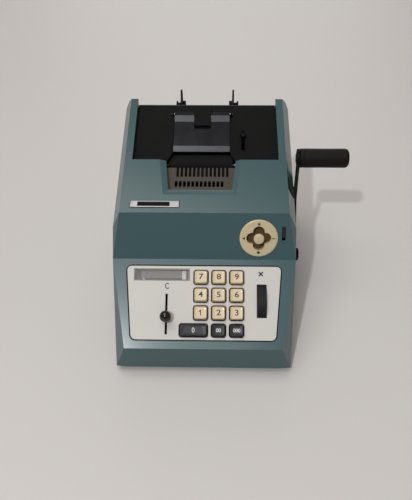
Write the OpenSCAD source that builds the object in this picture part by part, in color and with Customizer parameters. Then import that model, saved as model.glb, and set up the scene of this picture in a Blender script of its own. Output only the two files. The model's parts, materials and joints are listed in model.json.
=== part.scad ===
// Hand-cranked ten-key printing adding machine, in millimetres.
// X runs to the right, Y to the rear and Z up. The origin lies on the table,
// under the middle of the machine's outline with its crank and paper arms.

/* [Case] */
// Width of the case at its widest
case_w = 180; // [176:1:186]
// Height of the front skirt's upper edge
skirt_top = 35; // [33:1:38]
// Slope of the keyboard panel in degrees
panel_slope = 36; // [34:1:38]
// Length of the keyboard panel up its slope
panel_len = 87.3; // [86:0.1:90]
// Slope of the steep band behind the keys in degrees
band_slope = 65; // [63:1:67]
// Length of the steep band
band_len = 47.2; // [46:0.1:49]
// Slope of the deck in degrees
deck_slope = 16; // [15:1:17]
// Length of the deck with its side rails
deck_len = 150; // [149:1:154]
// Wall thickness of the case
wall = 2.5; // [2:0.1:2.8]

/* [Keyboard] */
// Side of a square key cap at its base
cap_w = 13; // [12:0.1:13.4]
// Distance between neighbouring key columns
key_pitch = 17.4; // [17:0.1:17.8]
// Height of the key tops above the plate
key_rise = 5; // [4.4:0.1:6]
// Travel of a key
key_travel = 4; // [3:0.1:4.2]
// Diameter of the clear lever's ball
ball_d = 11.3; // [9:0.1:13]

/* [Controls] */
// Outer diameter of the selector bezel
selector_d = 37.2; // [36:0.1:38]
// Diameter of the selector knob
selector_knob_d = 10.4; // [9.5:0.1:12]
// Length of the crank grip
grip_len = 50; // [45:1:56]
// Diameter of the crank grip
grip_d = 19.6; // [16:0.1:20]

/* [Printing] */
// Distance between neighbouring print columns
column_pitch = 4.2; // [4.1:0.05:4.3]
// Diameter of the platen roller
platen_d = 22; // [20:0.5:23]
// Distance between the paper-roll arms, inside
roll_w = 58; // [57:0.5:60]

/* [Hidden] */
$fn = 64;

// Colours as the photo shows them
teal = [0.32, 0.41, 0.42];
black = [0.1, 0.1, 0.11];
slate = [0.16, 0.17, 0.19];
cream = [0.88, 0.82, 0.68];
pale = [0.8, 0.78, 0.75];
steel = [0.62, 0.63, 0.65];
brass = [0.72, 0.58, 0.3];
rubber = [0.14, 0.14, 0.14];
brown_grey = [0.3, 0.27, 0.25];

// Case profile, from the skirt to the back
half_w = case_w / 2;
skirt_bottom = 6;
rear_round = 8;
function heading(a) = [cos(a), sin(a)];
valley = [0, skirt_top] + panel_len * heading(panel_slope);
brow = valley + band_len * heading(band_slope);
rear = brow + deck_len * heading(deck_slope);
back_y = rear[0] + rear_round;
profile = [
    [0, skirt_bottom], [0, skirt_top], valley, brow, rear,
    [back_y, rear[1] - rear_round], [back_y, skirt_bottom]
];

// Corner facets: the front face narrows to the skirt, the walls lean in below
bezel_half_w = half_w - 14.2;
wall_lean = 4;
corner_set_back = 1;
rail_half_w = half_w - 8;
rail_in = half_w - 15.5;
chamfer_h = 19;

// Base and inner frames
pan_bottom = 3;
pan_top = 5;
pan_rim = 9;
pan_half_w = half_w - 11;
frame_gap = 8;
frame_in = 59;
frame_t = 2;
deck_edge = 65.4;
cover_top = -6;
cover_t = 2;
cover_rear = deck_len - 5;
deck_dir = heading(deck_slope);
deck_up = [-deck_dir[1], deck_dir[0]];
function deck_point(a, n) = brow + a * deck_dir + n * deck_up;
panel_y = deck_point(cover_rear, cover_top - cover_t)[0] + 0.5;
panel_t = 2;
panel_top = deck_point(cover_rear, cover_top)[1];

// Keyboard: columns in X, rows up the slope
plate_t = 2.5;
plate_gap = 0.8;
key_x0 = -2.7;
key_top_row = panel_len - 18;
row_pitch = (panel_len - 17.7) / 4;
wide_w = 2 * cap_w + 0.5;
cap_hole_gap = 0.7;
cap_round = 2;
black_row = 3;
black_trim = 1.4;
stem = [3, 6];
stem_end = -22.2;
leaf = [0.8, 0.5];
fork = [leaf[0] + 0.6, key_travel + 0.3];
guide_top = -(key_travel + 5);
guide_t = 1.5;
base_top = -24.5;
function key_x(c) = key_x0 + c * key_pitch;
function key_y(r) = key_top_row - r * row_pitch;

// Entry window and its carriage
window_right = -13.8;
window_size = [half_w - 35.4, 11.8];
window_x = window_right - window_size[0] / 2;
window_y = panel_len - 15.5;
pointer_x = -19.5;
stalk_y = window_y - 3.6;
stalk_half = 0.5;
carriage_y = panel_len - 6.3;
carriage_n = -18;
rail_gap = 3;

// Clear lever and repeat wheel
clear_x = -36;
clear_y = 30.3;
clear_slot = [13.7, 52.9];
clear_block = [10, 12];
repeat_left = 51.9;
repeat_y = 46.5;
repeat_w = 9;
repeat_body_w = 4.8;
repeat_rim = 3.4;
repeat_rise = 4.5;
repeat_chord = 31;
repeat_r = (pow(repeat_chord / 2, 2) + pow(repeat_rise, 2)) / (2 * repeat_rise);
repeat_n = repeat_rise - repeat_r;

// Selector and print slider
selector_x = half_w - 37;
selector_y = band_len - 24.9;
selector_h = 2;
selector_neck_r = selector_d / 2 - 1.7;
lobe_r = 5.6;
lobe_off = 6.4;
selector_travel = 2.6;
slide_half_w = 18.6;
slot_x = half_w - 12.8;
slot_span = [band_len - 27.7, band_len - 13.7];

// Crank
hub = [102, 65];
arm_len = 99;
arm_angle = 51.8;
grip_at = hub + arm_len * heading(arm_angle);
arm_x = half_w + 1.2;
arm_t = 2.5;
arm_w = 12;
arm_bend_at = 58;
arm_bend_out = 2.7;
grip_x = arm_x + arm_bend_out + arm_t + 0.3;
shaft_r = 5;
spindle_r = 4;
gear_teeth = 18;
gear_pitch_r = 18;
cam_at = hub + [2 * gear_pitch_r, 0];
spring_angle = -45;
spring_pin = hub + 20 * heading(spring_angle);
spring_pin_r = 1.5;
gear_x = 44;
gear_t = 6;

// Printing works, in the deck's frame
well_front = 28.7;
comb_top = -8;
comb_t = 2;
column_x = -2.8;
columns = 13;
bar_span = [51, 60];
platen_at = [76, -22];
platen_r = platen_d / 2;
platen_shaft_r = 3;
feed_r = 4.2;
feed_at = [platen_at[0], platen_at[1] - platen_r - 0.4 - feed_r];
trough_r = platen_r + 1;
totalizer_at = [41.5, -35];
lid_x = [-33.9, 24.8];
lid_front = deck_edge + 17.1;
lid_rear = deck_len - 18;
lid_pin_at = [lid_rear, -4.6];
lid_top = -4.6;
lid_t = 2;
lid_ridge = -1.2;
lid_tab_x = [-13, 4.9];
spool_x = [-40, 32];
spool_room = cover_rear - platen_at[0] - platen_r;
spool_y = platen_at[0] + platen_r + 0.43 * spool_room;
spool_r = 0.293 * spool_room;
spool_top = -10.2;
spool_h = 8.6;
ribbon_deck_n = -28;
release_x = 39;
release_y = 101;

// Paper-roll arms and rods between the frames
roll_at = [panel_y + 48, 137.7];
peg_r = 4.5;
peg_len = 3.6;
pin_r = 2.4;
pin_len = 3.6;
pin_head = 1.8;
head_r = 4.2;
arm_blade = 2;
ties = [[32, 12], [180, 16], [panel_y - 17.7, 81], [100, 104]];
tie_r = 3;
fit = 0.05;

// Outline of everything, which sets the origin
x_min = -half_w;
x_max = grip_x + grip_len;
y_max = roll_at[0] + 8;

module in_frame() translate([-(x_min + x_max) / 2, -y_max / 2, 0]) children();
module on_panel() translate([0, 0, skirt_top]) rotate([panel_slope, 0, 0]) children();
module on_band() translate([0, valley[0], valley[1]]) rotate([band_slope, 0, 0]) children();
module on_deck() translate([0, brow[0], brow[1]]) rotate([deck_slope, 0, 0]) children();

// Extrudes a Y-Z drawing along X from x0 to x1
module along_x(x0, x1) translate([x0, 0, 0]) rotate([90, 0, 90]) linear_extrude(x1 - x0) children();
module rod(at, r, x0, x1) along_x(x0, x1) translate(at) circle(r);
module both_sides() for (s = [0, 1]) mirror([s, 0, 0]) children();
module box(lo, hi) translate(lo) cube(hi - lo);

// Case solid

function unit(v) = v / norm(v);
function right_of(v) = [v[1], -v[0]];
function inset(points, d) = [
    for (i = [0:len(points) - 1])
        let (
            n = len(points),
            before = right_of(unit(points[i] - points[(i + n - 1) % n])),
            after = right_of(unit(points[(i + 1) % n] - points[i]))
        )
        points[i] + d * (before + after) / (1 + before * after)
];

// Profile moved in by d, with its lower edge at z and its back at y
function shell_outline(d, z, y) = [
    for (i = [0:6])
        let (p = inset(profile, d)[i])
        [i >= 5 ? y : p[0], i == 0 || i == 6 ? z : p[1]]
];

// A large block outside the plane through three points, moved in by d
module outside(a, b, c, d) {
    n = unit(cross(b - a, c - a));
    size = 900;
    translate(a - d * n)
        rotate([0, acos(n[2]), atan2(n[1], n[0])])
            translate([-size / 2, -size / 2, 0]) cube(size);
}

module corner_cuts(d) {
    valley_corner = [half_w, valley[0], valley[1]];
    bezel_corner = [bezel_half_w, 0, skirt_top];
    bezel_foot = [bezel_half_w, 0, skirt_bottom];
    foot = [half_w - wall_lean, corner_set_back, skirt_bottom];
    brow_corner = [rail_half_w, brow[0], brow[1]];
    rail_end = [rail_half_w, rear[0], rear[1]];
    chamfer_corner = [half_w, brow[0], brow[1] - chamfer_h];
    back_foot = foot + [0, 200, 0];
    outside(foot, back_foot, valley_corner, d);
    outside(bezel_corner, bezel_foot, foot, d);
    outside(brow_corner, chamfer_corner, rail_end, d);
    intersection() {
        outside(valley_corner, bezel_corner, foot, d);
        box([0, -50, -50], [200, 300, valley[1]]);
    }
    intersection() {
        outside(valley_corner, chamfer_corner, brow_corner, d);
        box([0, -50, valley[1]], [200, 300, 300]);
    }
}

module case_solid(d, z, y) difference() {
    along_x(-half_w + d, half_w - d) polygon(shell_outline(d, z, y));
    both_sides() corner_cuts(d);
}

// Rounds the corners of a polygon with arcs of radius r
function rounded(points, r) = [
    for (i = [0:len(points) - 1])
        let (
            n = len(points),
            p = points[i],
            u = unit(points[(i + n - 1) % n] - p),
            v = unit(points[(i + 1) % n] - p),
            half = acos(u * v) / 2,
            centre = p + unit(u + v) * r / sin(half),
            start = atan2((p + u * r / tan(half) - centre)[1], (p + u * r / tan(half) - centre)[0]),
            turn = u[0] * v[1] - u[1] * v[0] > 0 ? -(180 - 2 * half) : 180 - 2 * half
        )
        for (k = [0:6]) centre + r * heading(start + turn * k / 6)
];

plate_corners = [
    [-bezel_half_w + 5.8, 8.3], [bezel_half_w - 5.8, 8.3],
    [half_w - 14, panel_len - 6.6], [-half_w + 14, panel_len - 6.6]
];
well_corners = [
    [-36, well_front], [27, well_front], [31, deck_edge + 0.1], [-40, deck_edge + 0.1]
];

// The shallow funnel round the paper well: sides slope in from the deck
module well_funnel() {
    depth = 2;
    left = [-46.5, 66, 0];
    front_left = [-41, 21.5, 0];
    front_right = [31.5, 21.5, 0];
    right = [36, 66, 0];
    down = [0, 0, -depth];
    intersection() {
        outside(left, front_left, [-36, well_front, 0] + down, 0);
        outside(front_left, front_right, [27, well_front, 0] + down, 0);
        outside(front_right, right, [31, 66, 0] + down, 0);
        box([-60, 10, -7], [50, 67, 1]);
    }
}

module deck_opening() {
    box([-rail_in, deck_edge, -60], [rail_in, deck_len + 40, 10]);
    translate([0, 0, -30]) linear_extrude(40) polygon(well_corners);
    well_funnel();
}

module deck_flanges() {
    both_sides() box([rail_in, deck_edge, -9.5], [rail_in + 2.5, deck_len - 1, -1]);
    box([-50, 18, -7.5], [40, deck_edge, -wall / 2]);
    box([-rail_in - 2, deck_edge - 2.5, -frame_gap + 0.2], [rail_in + 2, deck_edge, -1]);
}

boss_x = 72;
boss_y = [40, panel_y - 32.7];
boss_r = 4.5;
boss_top = 30;
screw_r = 1.6;

module case_bosses() both_sides() for (y = boss_y) {
    translate([boss_x, y, pan_top]) cylinder(r = boss_r, h = boss_top - pan_top);
    box([boss_x, y - 1.5, 9.5], [half_w - wall_lean - wall / 2, y + 1.5, boss_top]);
}

module selector_ribs() for (s = [-1, 1])
    box([selector_x + s * (slide_half_w + 1.05) - 0.75, selector_y - 17, -10],
        [selector_x + s * (slide_half_w + 1.05) + 0.75, selector_y + 17, -wall / 2]);

module housing() color(teal) in_frame() difference() {
    union() {
        difference() {
            case_solid(0, skirt_bottom, back_y);
            case_solid(wall, -5, back_y + 20);
        }
        on_deck() deck_flanges();
        on_band() selector_ribs();
        case_bosses();
    }
    on_panel() translate([0, 0, -20]) linear_extrude(40)
        polygon(rounded(inset_plate(-plate_gap), 5 + plate_gap));
    on_band() translate([selector_x, selector_y, -wall - 1]) cylinder(r = selector_neck_r + 0.2, h = 10);
    on_band() box([slot_x - 1.8, slot_span[0], -6], [slot_x + 1.8, slot_span[1], 6]);
    on_deck() deck_opening();
    rod(hub, 7.5, half_w - 20, half_w + 20);
    both_sides() for (y = boss_y) translate([boss_x, y, 0]) cylinder(r = screw_r, h = 22);
}

// Plate outline moved in by d; its corners run anticlockwise, so the inset is turned round
function inset_plate(d) = inset(plate_corners, -d);

module base_pan() color(black) in_frame() difference() {
    union() {
        box([-pan_half_w, 3.5, pan_bottom], [pan_half_w, panel_y + 4, pan_top]);
        difference() {
            union() {
                box([-pan_half_w, 3.5, pan_bottom], [pan_half_w, panel_y + 4, pan_rim]);
                intersection() {
                    case_solid(wall + 0.4, 0, panel_y + 4);
                    box([-half_w, 0, pan_rim - 1.5], [half_w, panel_y + 4, pan_rim]);
                }
            }
            box([-pan_half_w + 1.5, 5, pan_top - 1], [pan_half_w - 1.5, panel_y + 2.5, 12]);
        }
    }
    both_sides() for (y = boss_y) translate([boss_x, y, 0]) cylinder(r = screw_r + 0.3, h = 10);
}

foot_x = 62;
foot_y = [26, panel_y - 20.7];
module rubber_feet() color(rubber) in_frame()
    both_sides() for (y = foot_y) translate([foot_x, y, 0]) cylinder(r = 9, h = pan_bottom);

paper_inlet_z = deck_point(deck_len - 11.5, -34.5)[1];
module back_panel() color(black) in_frame() difference() {
    intersection() {
        case_solid(wall + 0.3, pan_top, back_y);
        union() {
            box([-pan_half_w + 2, panel_y, 0], [pan_half_w - 2, panel_y + panel_t, 20]);
            box([-half_w, panel_y, pan_rim + 0.3], [half_w, panel_y + panel_t, panel_top]);
        }
    }
    box([-33, panel_y - 5, paper_inlet_z - 3.5], [27, panel_y + 5, paper_inlet_z + 3.5]);
    on_deck() both_sides() box([rail_in - 0.3, deck_edge, -9.8], [rail_in + 2.8, deck_len + 20, 5]);
}

module case_screws() color(steel) in_frame() {
    both_sides() for (y = boss_y) {
        translate([boss_x, y, 1]) cylinder(r = 3.5, h = pan_bottom - 1);
        translate([boss_x, y, 1]) cylinder(r = screw_r, h = 20);
    }
    both_sides() for (t = ties) {
        rod(t, 4, frame_in + frame_t, frame_in + frame_t + 2.2);
        rod(t, screw_r, frame_in - 8, frame_in + frame_t + 2);
    }
}

// Frames and rods

module side_frame(x) difference() {
    intersection() {
        case_solid(frame_gap, pan_top, back_y);
        box([x, 0, 0], [x + frame_t, panel_y, 300]);
    }
    rod(hub, 8, x - 1, x + 5);
    rod(cam_at, 4 + fit, x - 1, x + 5);
    for (t = ties) rod(t, screw_r, x - 1, x + 5);
    on_deck() {
        rod(platen_at, platen_shaft_r + fit, x - 1, x + 5);
        rod(feed_at, 2 + fit, x - 1, x + 5);
        rod(totalizer_at, 3 + fit, x - 1, x + 5);
    }
    on_band() box([selector_x - 25, selector_y - 18, -12.5], [selector_x + 25, selector_y + 18, 5]);
}

module frame_left() color(steel) in_frame() side_frame(-frame_in - frame_t);
module frame_right() color(steel) in_frame() side_frame(frame_in);

module cross_rods() color(steel) in_frame() {
    difference() {
        for (t = ties) rod(t, tie_r, -frame_in, frame_in);
        both_sides() for (t = ties) rod(t, screw_r, frame_in - 8, frame_in + 5);
    }
    on_panel() {
        for (s = [-1, 1]) rod([carriage_y + s * rail_gap, carriage_n], 2, -frame_in, frame_in);
        rod([repeat_y, repeat_n], 2, repeat_left - 4.6, frame_in);
    }
}

module shaft_bushings() color(brass) in_frame() both_sides() difference() {
    rod(hub, 8, frame_in - 2, frame_in + frame_t + 2);
    rod(hub, shaft_r + fit, frame_in - 4, frame_in + 10);
}

// Keyboard

zero_x = key_x(0) + cap_w / 2 - wide_w / 2;
function is_zero(c, r) = c == 0 && r == black_row;
function stem_x(c, r) = is_zero(c, r) ? zero_x : key_x(c);
function rectangle(w, h) = [[-w / 2, -h / 2], [w / 2, -h / 2], [w / 2, h / 2], [-w / 2, h / 2]];

// Outline of a cap, moved out by d; the black row is trimmed at its lower edge
module cap_outline(c, r, d) {
    w = is_zero(c, r) ? wide_w : cap_w;
    trim = r == black_row ? black_trim : 0;
    translate([stem_x(c, r), key_y(r) + trim / 2])
        polygon(rounded(rectangle(w + 2 * d, cap_w - trim + 2 * d), cap_round + d));
}

module key_holes(gap, z0, z1) translate([0, 0, z0]) linear_extrude(z1 - z0)
    for (c = [0:2], r = [0:black_row]) cap_outline(c, r, gap);

plate_posts = [[-50, 14], [-50, panel_len - 29], [45, 14], [45, panel_len - 12]];

module keyboard_plate() color(pale) in_frame() on_panel() difference() {
    translate([0, 0, -plate_t]) linear_extrude(plate_t) polygon(rounded(plate_corners, 5));
    key_holes(cap_hole_gap, -5, 5);
    translate([window_x, window_y, -5]) linear_extrude(10) square(window_size, center = true);
    box([clear_x - 1.1, clear_slot[0], -5], [clear_x + 1.1, clear_slot[1], 5]);
    rod([repeat_y, repeat_n], repeat_r + 0.35, repeat_left - 0.3, repeat_left + repeat_w + 0.3);
}

module stem_holes(z0, z1)
    for (c = [0:2], r = [0:3])
        translate([stem_x(c, r), key_y(r), z0]) linear_extrude(z1 - z0)
            square(stem + [0.5, 0.5], center = true);

// Two plates that guide the key stems, the upper one on posts below the keyboard plate
module key_guides() color(steel) in_frame() on_panel() {
    for (p = plate_posts) translate([p[0], p[1], guide_top]) cylinder(r = 2.5, h = -guide_top - plate_t);
    difference() {
        box([-frame_in, 10, guide_top - guide_t], [frame_in, panel_len - 8, guide_top]);
        stem_holes(guide_top - 5, guide_top + 5);
        box([pointer_x - 41, stalk_y - 1.6, -20], [pointer_x + 3, stalk_y + 1.6, 0]);
        box([repeat_left - 1.6, 24, -20], [frame_in + 1, panel_len - 18, 0]);
    }
    difference() {
        box([-frame_in, 8, base_top - guide_t], [frame_in, panel_len - 14, base_top]);
        stem_holes(base_top - 5, base_top + 5);
        box([repeat_left - 6.6, 22, -40], [frame_in + 1, panel_len - 17, 0]);
    }
}

// Return springs, one leaf below the fork of each stem, where a pressed key takes it
module key_spring_comb() color(brass) in_frame() on_panel()
    for (r = [0:3]) {
        box([key_x(0) - 20, key_y(r) - 9, base_top], [key_x(2) + 5, key_y(r) - 5, stem_end]);
        for (c = [0:2])
            translate([stem_x(c, r), key_y(r), stem_end])
                box([-leaf[0] / 2, -5.5, -leaf[1]], [leaf[0] / 2, 2, 0]);
    }

// One key: a cap with sloping sides on a flat stem, forked at its foot to clear the leaf spring
module key(c, r, tint) color(tint) in_frame() on_panel() {
    side_slope = 1.1;
    skin = 0.01;
    translate([0, 0, -2]) linear_extrude(2.5) cap_outline(c, r, 0);
    hull() {
        translate([0, 0, 0.5]) linear_extrude(skin) cap_outline(c, r, 0);
        translate([0, 0, key_rise - skin]) linear_extrude(skin) cap_outline(c, r, -side_slope);
    }
    translate([stem_x(c, r), key_y(r), stem_end]) difference() {
        linear_extrude(-stem_end - 1) square(stem, center = true);
        box([-fork[0] / 2, -stem[1], -1], [fork[0] / 2, stem[1], fork[1]]);
    }
}

// Entry window

module window_tray() color(steel) in_frame() on_panel() translate([window_x, window_y, 0]) {
    outer = window_size - [0.3, 0.3];
    translate([0, 0, -7.5]) linear_extrude(7.3) difference() {
        square(outer, center = true);
        square(outer - [1.6, 1.6], center = true);
    }
    translate([0, 0, -7.5]) linear_extrude(0.8) difference() {
        square(outer, center = true);
        translate([0, stalk_y - window_y])
            square([window_size[0] - 8.6, 2 * stalk_half + 0.6], center = true);
    }
}

module window_lens() color([0.75, 0.78, 0.78, 0.35]) in_frame() on_panel()
    translate([window_x, window_y, -1.8]) linear_extrude(1.2)
        square(window_size - [1.9, 1.9], center = true);

module pointer_stalk() box(
    [pointer_x - stalk_half, stalk_y - stalk_half, -16], [pointer_x + stalk_half, stalk_y + stalk_half, -6]
);

module column_pointer() color("white") in_frame() on_panel() {
    box([pointer_x - 2, window_y - 4.2, -6], [pointer_x + 2, window_y + 4.2, -4]);
    pointer_stalk();
}

module pin_carriage() color(steel) in_frame() on_panel() difference() {
    union() {
        box([-18, carriage_y - 6, carriage_n - 5], [12, carriage_y + 6, carriage_n + 5]);
        box([pointer_x - 1.5, stalk_y - 1.5, -17], [-17, carriage_y - 5, -13.5]);
    }
    for (s = [-1, 1]) rod([carriage_y + s * rail_gap, carriage_n], 2 + fit, -30, 30);
    pointer_stalk();
    for (i = [0:5]) translate([-14 + i * column_pitch, carriage_y, carriage_n + 2]) cylinder(r = 0.9, h = 5);
}

// Clear lever, repeat wheel, selector and print slider

ball_n = ball_d / 2 + 2.8;
module at_clear() on_panel() translate([clear_x, clear_y, 0]) children();

module clear_knob() color(black) in_frame() at_clear() translate([0, 0, ball_n]) difference() {
    sphere(d = ball_d);
    translate([0, 0, -ball_d]) cylinder(r = 0.85, h = ball_d);
}

module clear_slider() color(steel) in_frame() at_clear() {
    translate([0, 0, -4]) cylinder(r = 0.85, h = ball_n + 4);
    translate([-clear_block[0] / 2, -clear_block[1] / 2, guide_top + 0.3])
        cube([clear_block[0], clear_block[1], -guide_top - plate_t - 0.6]);
}

// A sector of the wheel, open by half the angle a to each side
module wheel_sector(a) intersection() {
    circle(repeat_r, $fn = 128);
    polygon([[0, 0], 50 * heading(90 - a), [0, 80], 50 * heading(90 + a)]);
}

// A narrow body on the pivot, with a wide rim under the finger
module repeat_wheel() color(black) in_frame() on_panel() translate([0, repeat_y, repeat_n]) {
    along_x(repeat_left, repeat_left + repeat_body_w) difference() {
        union() {
            wheel_sector(43);
            circle(5);
        }
        circle(2 + fit);
    }
    along_x(repeat_left, repeat_left + repeat_w) difference() {
        wheel_sector(40.5);
        circle(repeat_r - repeat_rim);
    }
}

module clover() {
    circle(6);
    for (a = [0:90:270]) translate(lobe_off * heading(a)) circle(lobe_r);
}

module at_selector() on_band() translate([selector_x, selector_y, 0]) children();

module selector_bezel() color(cream) in_frame() at_selector() difference() {
    rotate_extrude() polygon([
        [0, -4], [selector_neck_r, -4], [selector_neck_r, 0], [selector_d / 2, 0],
        [selector_d / 2, 1.2], [selector_d / 2 - 2, selector_h], [0, selector_h]
    ]);
    translate([0, 0, -5]) linear_extrude(12) clover();
}

module selector_knob() color(cream) in_frame() at_selector() {
    r = selector_knob_d / 2;
    base = selector_h + 0.4;
    rotate_extrude() polygon([
        [0, -11], [4, -11], [4, -9.3], [2, -9.3],
        [2, -5.4], [15, -5.4], [15, -4.4], [2, -4.4],
        [2, base], [r - 0.6, base], [r, base + 0.8], [r, base + 1.6],
        [r - 1, base + 2.8], [r - 2.6, base + 3.4], [0, base + 3.6]
    ]);
}

module selector_slide() color(steel) in_frame() at_selector() difference() {
    box([-slide_half_w, -13, -9], [slide_half_w, 13, -7]);
    box([-selector_travel - 2.2, -2.1, -10], [selector_travel + 2.2, 2.1, -6]);
}

module print_slider() color(black) in_frame() on_band() {
    box([slot_x - 1.5, slot_span[1] - 10.3, -4], [slot_x + 1.5, slot_span[1] - 0.3, 1]);
    box([slot_x - 2.7, slot_span[1] - 12.3, -wall - 1.8], [slot_x + 2.4, slot_span[1] + 1, -wall - 0.3]);
}

plate_x = -half_w + 18.4;
module name_plate() color(steel) in_frame() on_deck() box([plate_x, 5.9, 0], [plate_x + 47.1, 13.3, 0.8]);

// Cover, lid and printing works

module mechanism_cover() color(black) in_frame() on_deck() difference() {
    union() {
        box([-rail_in + 0.3, deck_edge + 0.4, cover_top - cover_t], [rail_in - 0.3, cover_rear, cover_top]);
        for (x = [lid_x[0] - 3.1, lid_x[1] + 1.1])
            box([x, lid_pin_at[0] - 2.5, cover_top - 1], [x + 2, lid_pin_at[0] + 2.5, lid_pin_at[1] + 2.2]);
    }
    translate([0, 0, -20]) linear_extrude(40) polygon([
        [-41, deck_edge], [32, deck_edge], [lid_x[1] + 0.5, lid_front - 3.5],
        [lid_x[1] + 0.5, lid_pin_at[0] + 2.8], [lid_x[0] - 0.5, lid_pin_at[0] + 2.8],
        [lid_x[0] - 0.5, lid_front - 3.5]
    ]);
    box([lid_tab_x[0] - 0.8, lid_pin_at[0], -20], [lid_tab_x[1] + 0.8, lid_pin_at[0] + 7.5, -5]);
    rod(lid_pin_at, 1, lid_x[0] - 10, lid_x[1] + 10);
    box([release_x - 2, release_y - 18, -20], [release_x + 2, release_y + 8, 0]);
}

module tear_lid() color(slate) in_frame() on_deck() difference() {
    union() {
        along_x(lid_x[0], lid_x[1]) {
            polygon([
                [lid_rear, lid_top - lid_t], [lid_rear, lid_ridge - 0.2], [lid_rear - 5, lid_ridge],
                [lid_rear - 10.8, lid_top], [lid_front + 4.8, lid_top], [lid_front, lid_top - 3.4],
                [lid_front, lid_top - 3.4 - lid_t], [lid_front + 5.4, lid_top - lid_t]
            ]);
            translate(lid_pin_at) circle(2.1);
        }
        along_x(lid_tab_x[0], lid_tab_x[1]) polygon([
            [lid_rear - 19, lid_ridge - 1.4], [lid_rear - 19, lid_ridge - 0.2],
            [lid_rear - 4, lid_ridge + 0.8], [lid_rear + 2, lid_ridge + 0.8],
            [lid_rear + 2, lid_ridge - 0.8], [lid_rear - 6, lid_ridge - 1.4]
        ]);
    }
    rod(lid_pin_at, 1 + fit, lid_x[0] - 5, lid_x[1] + 5);
}

module lid_pin() color(steel) in_frame() on_deck() rod(lid_pin_at, 1, lid_x[0] - 3.4, lid_x[1] + 3.4);

module release_knob() color(black) in_frame() on_deck() translate([release_x, release_y, 0]) {
    rotate_extrude() polygon([
        [0, -9.6], [1.6, -9.6], [1.6, -4.6], [3.2, -4.4], [3.2, -2.4], [2, -1.2], [0, -1]
    ]);
    translate([-4, -4, -9.7]) cube([8, 8, 1.4]);
}

module slots(count, centre, y0, y1, w) for (i = [0:count - 1])
    translate([centre + (i - (count - 1) / 2) * column_pitch - w / 2, y0, -100]) cube([w, y1 - y0, 100]);

module comb_plate() color(brown_grey) in_frame() on_deck() {
    difference() {
        box([-frame_in, 30, comb_top - comb_t], [frame_in, 61, comb_top]);
        slots(columns, column_x, 49.5, 62, 2.6);
        slots(columns - 1, column_x - 3.2, 37, 44, 2.9);
    }
    difference() {
        box([-frame_in, 45, -52], [frame_in, 65, -50]);
        slots(columns, column_x, bar_span[0] - 0.4, bar_span[1] + 0.4, 2.1);
    }
}

module type_bars() color(steel) in_frame() on_deck() for (i = [0:columns - 1])
    translate([column_x + (i - (columns - 1) / 2) * column_pitch - 0.7, bar_span[0], -68])
        cube([1.4, bar_span[1] - bar_span[0], 68 - 10.6]);

module totalizer() color(steel) in_frame() on_deck() {
    rod(totalizer_at, 3, -frame_in - frame_t, frame_in + frame_t);
    for (i = [0:columns - 1]) {
        x = column_x + (i - (columns - 1) / 2) * column_pitch;
        along_x(x - 1, x + 1) translate(totalizer_at) gear(10, 6.6, 1.3, 1.1);
    }
}

module platen_roller() color(rubber) in_frame() on_deck() difference() {
    rod(platen_at, platen_r, -38, 28);
    rod(platen_at, platen_shaft_r, -50, 50);
}

module platen_shaft() color(steel) in_frame() on_deck() {
    rod(platen_at, platen_shaft_r, -frame_in - frame_t - 2, frame_in + frame_t + 2);
    rod(platen_at, 5, frame_in + frame_t + 0.5, frame_in + frame_t + 2);
    rod(platen_at, 5, -frame_in - frame_t - 2, -frame_in - frame_t - 0.5);
}

module feed_roller() color(rubber) in_frame() on_deck() {
    rod(feed_at, feed_r, -19, 9);
    rod(feed_at, 2, -frame_in - frame_t, frame_in + frame_t);
}

module paper_guide() color(steel) in_frame() on_deck() difference() {
    union() {
        along_x(-33, 24) {
            intersection() {
                difference() {
                    translate(platen_at) circle(trough_r + 1);
                    translate(platen_at) circle(trough_r);
                }
                translate([platen_at[0] - 20, platen_at[1] - 20]) square([20, 25]);
            }
            translate([platen_at[0] - 0.01, platen_at[1] - trough_r - 1]) square([deck_len - 90, 1]);
        }
        box([-frame_in, 100, platen_at[1] - trough_r - 1], [frame_in, 106, platen_at[1] - trough_r]);
    }
    box([-20.5, feed_at[0] - 6, -60], [10.5, feed_at[0] + 6, platen_at[1] - 8]);
}

module ribbon_deck() color(steel) in_frame() on_deck() {
    box([-frame_in, spool_y - 20, ribbon_deck_n - 2], [frame_in, cover_rear - 10, ribbon_deck_n]);
    for (x = spool_x) translate([x, spool_y, ribbon_deck_n]) {
        cylinder(r = 5, h = spool_top - spool_h - ribbon_deck_n - 0.2);
        cylinder(r = 2.5, h = spool_top - ribbon_deck_n);
    }
}

module ribbon_spool(x) color(slate) in_frame() on_deck() translate([x, spool_y, spool_top - spool_h])
    rotate_extrude() polygon([
        [2.5 + fit, 0], [spool_r, 0], [spool_r, 1], [spool_r - 3, 1], [spool_r - 3, spool_h - 1],
        [spool_r, spool_h - 1], [spool_r, spool_h], [2.5 + fit, spool_h]
    ]);

// Crank and drive

// A gear outline: teeth of half-width w at the pitch radius, h above and below it
module gear(teeth, r, h, w) {
    circle(r - h - 0.4);
    for (i = [0:teeth - 1]) rotate(i * 360 / teeth)
        polygon([
            [0, -w * 1.6], [r - h, -w * 1.5], [r + h, -w * 0.5],
            [r + h, w * 0.5], [r - h, w * 1.5], [0, w * 1.6]
        ]);
}

module main_shaft() color(steel) in_frame() {
    rod(hub, shaft_r, -frame_in - frame_t - 4, arm_x + arm_t + 1);
    along_x(-47, -44) translate(hub) rotate(spring_angle) translate([0, -4]) square([24, 8]);
    rod(spring_pin, spring_pin_r, -45, -39);
}

// The arm seen on edge: straight from the hub, then leaning out to the grip
module arm_edge() {
    bent_x = arm_x + arm_bend_out;
    bent_at = arm_len - 6;
    polygon([
        [arm_x, -20], [arm_x, arm_bend_at], [bent_x, bent_at], [bent_x, arm_len + 20],
        [bent_x + arm_t, arm_len + 20], [bent_x + arm_t, bent_at],
        [arm_x + arm_t, arm_bend_at], [arm_x + arm_t, -20]
    ]);
}

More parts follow.
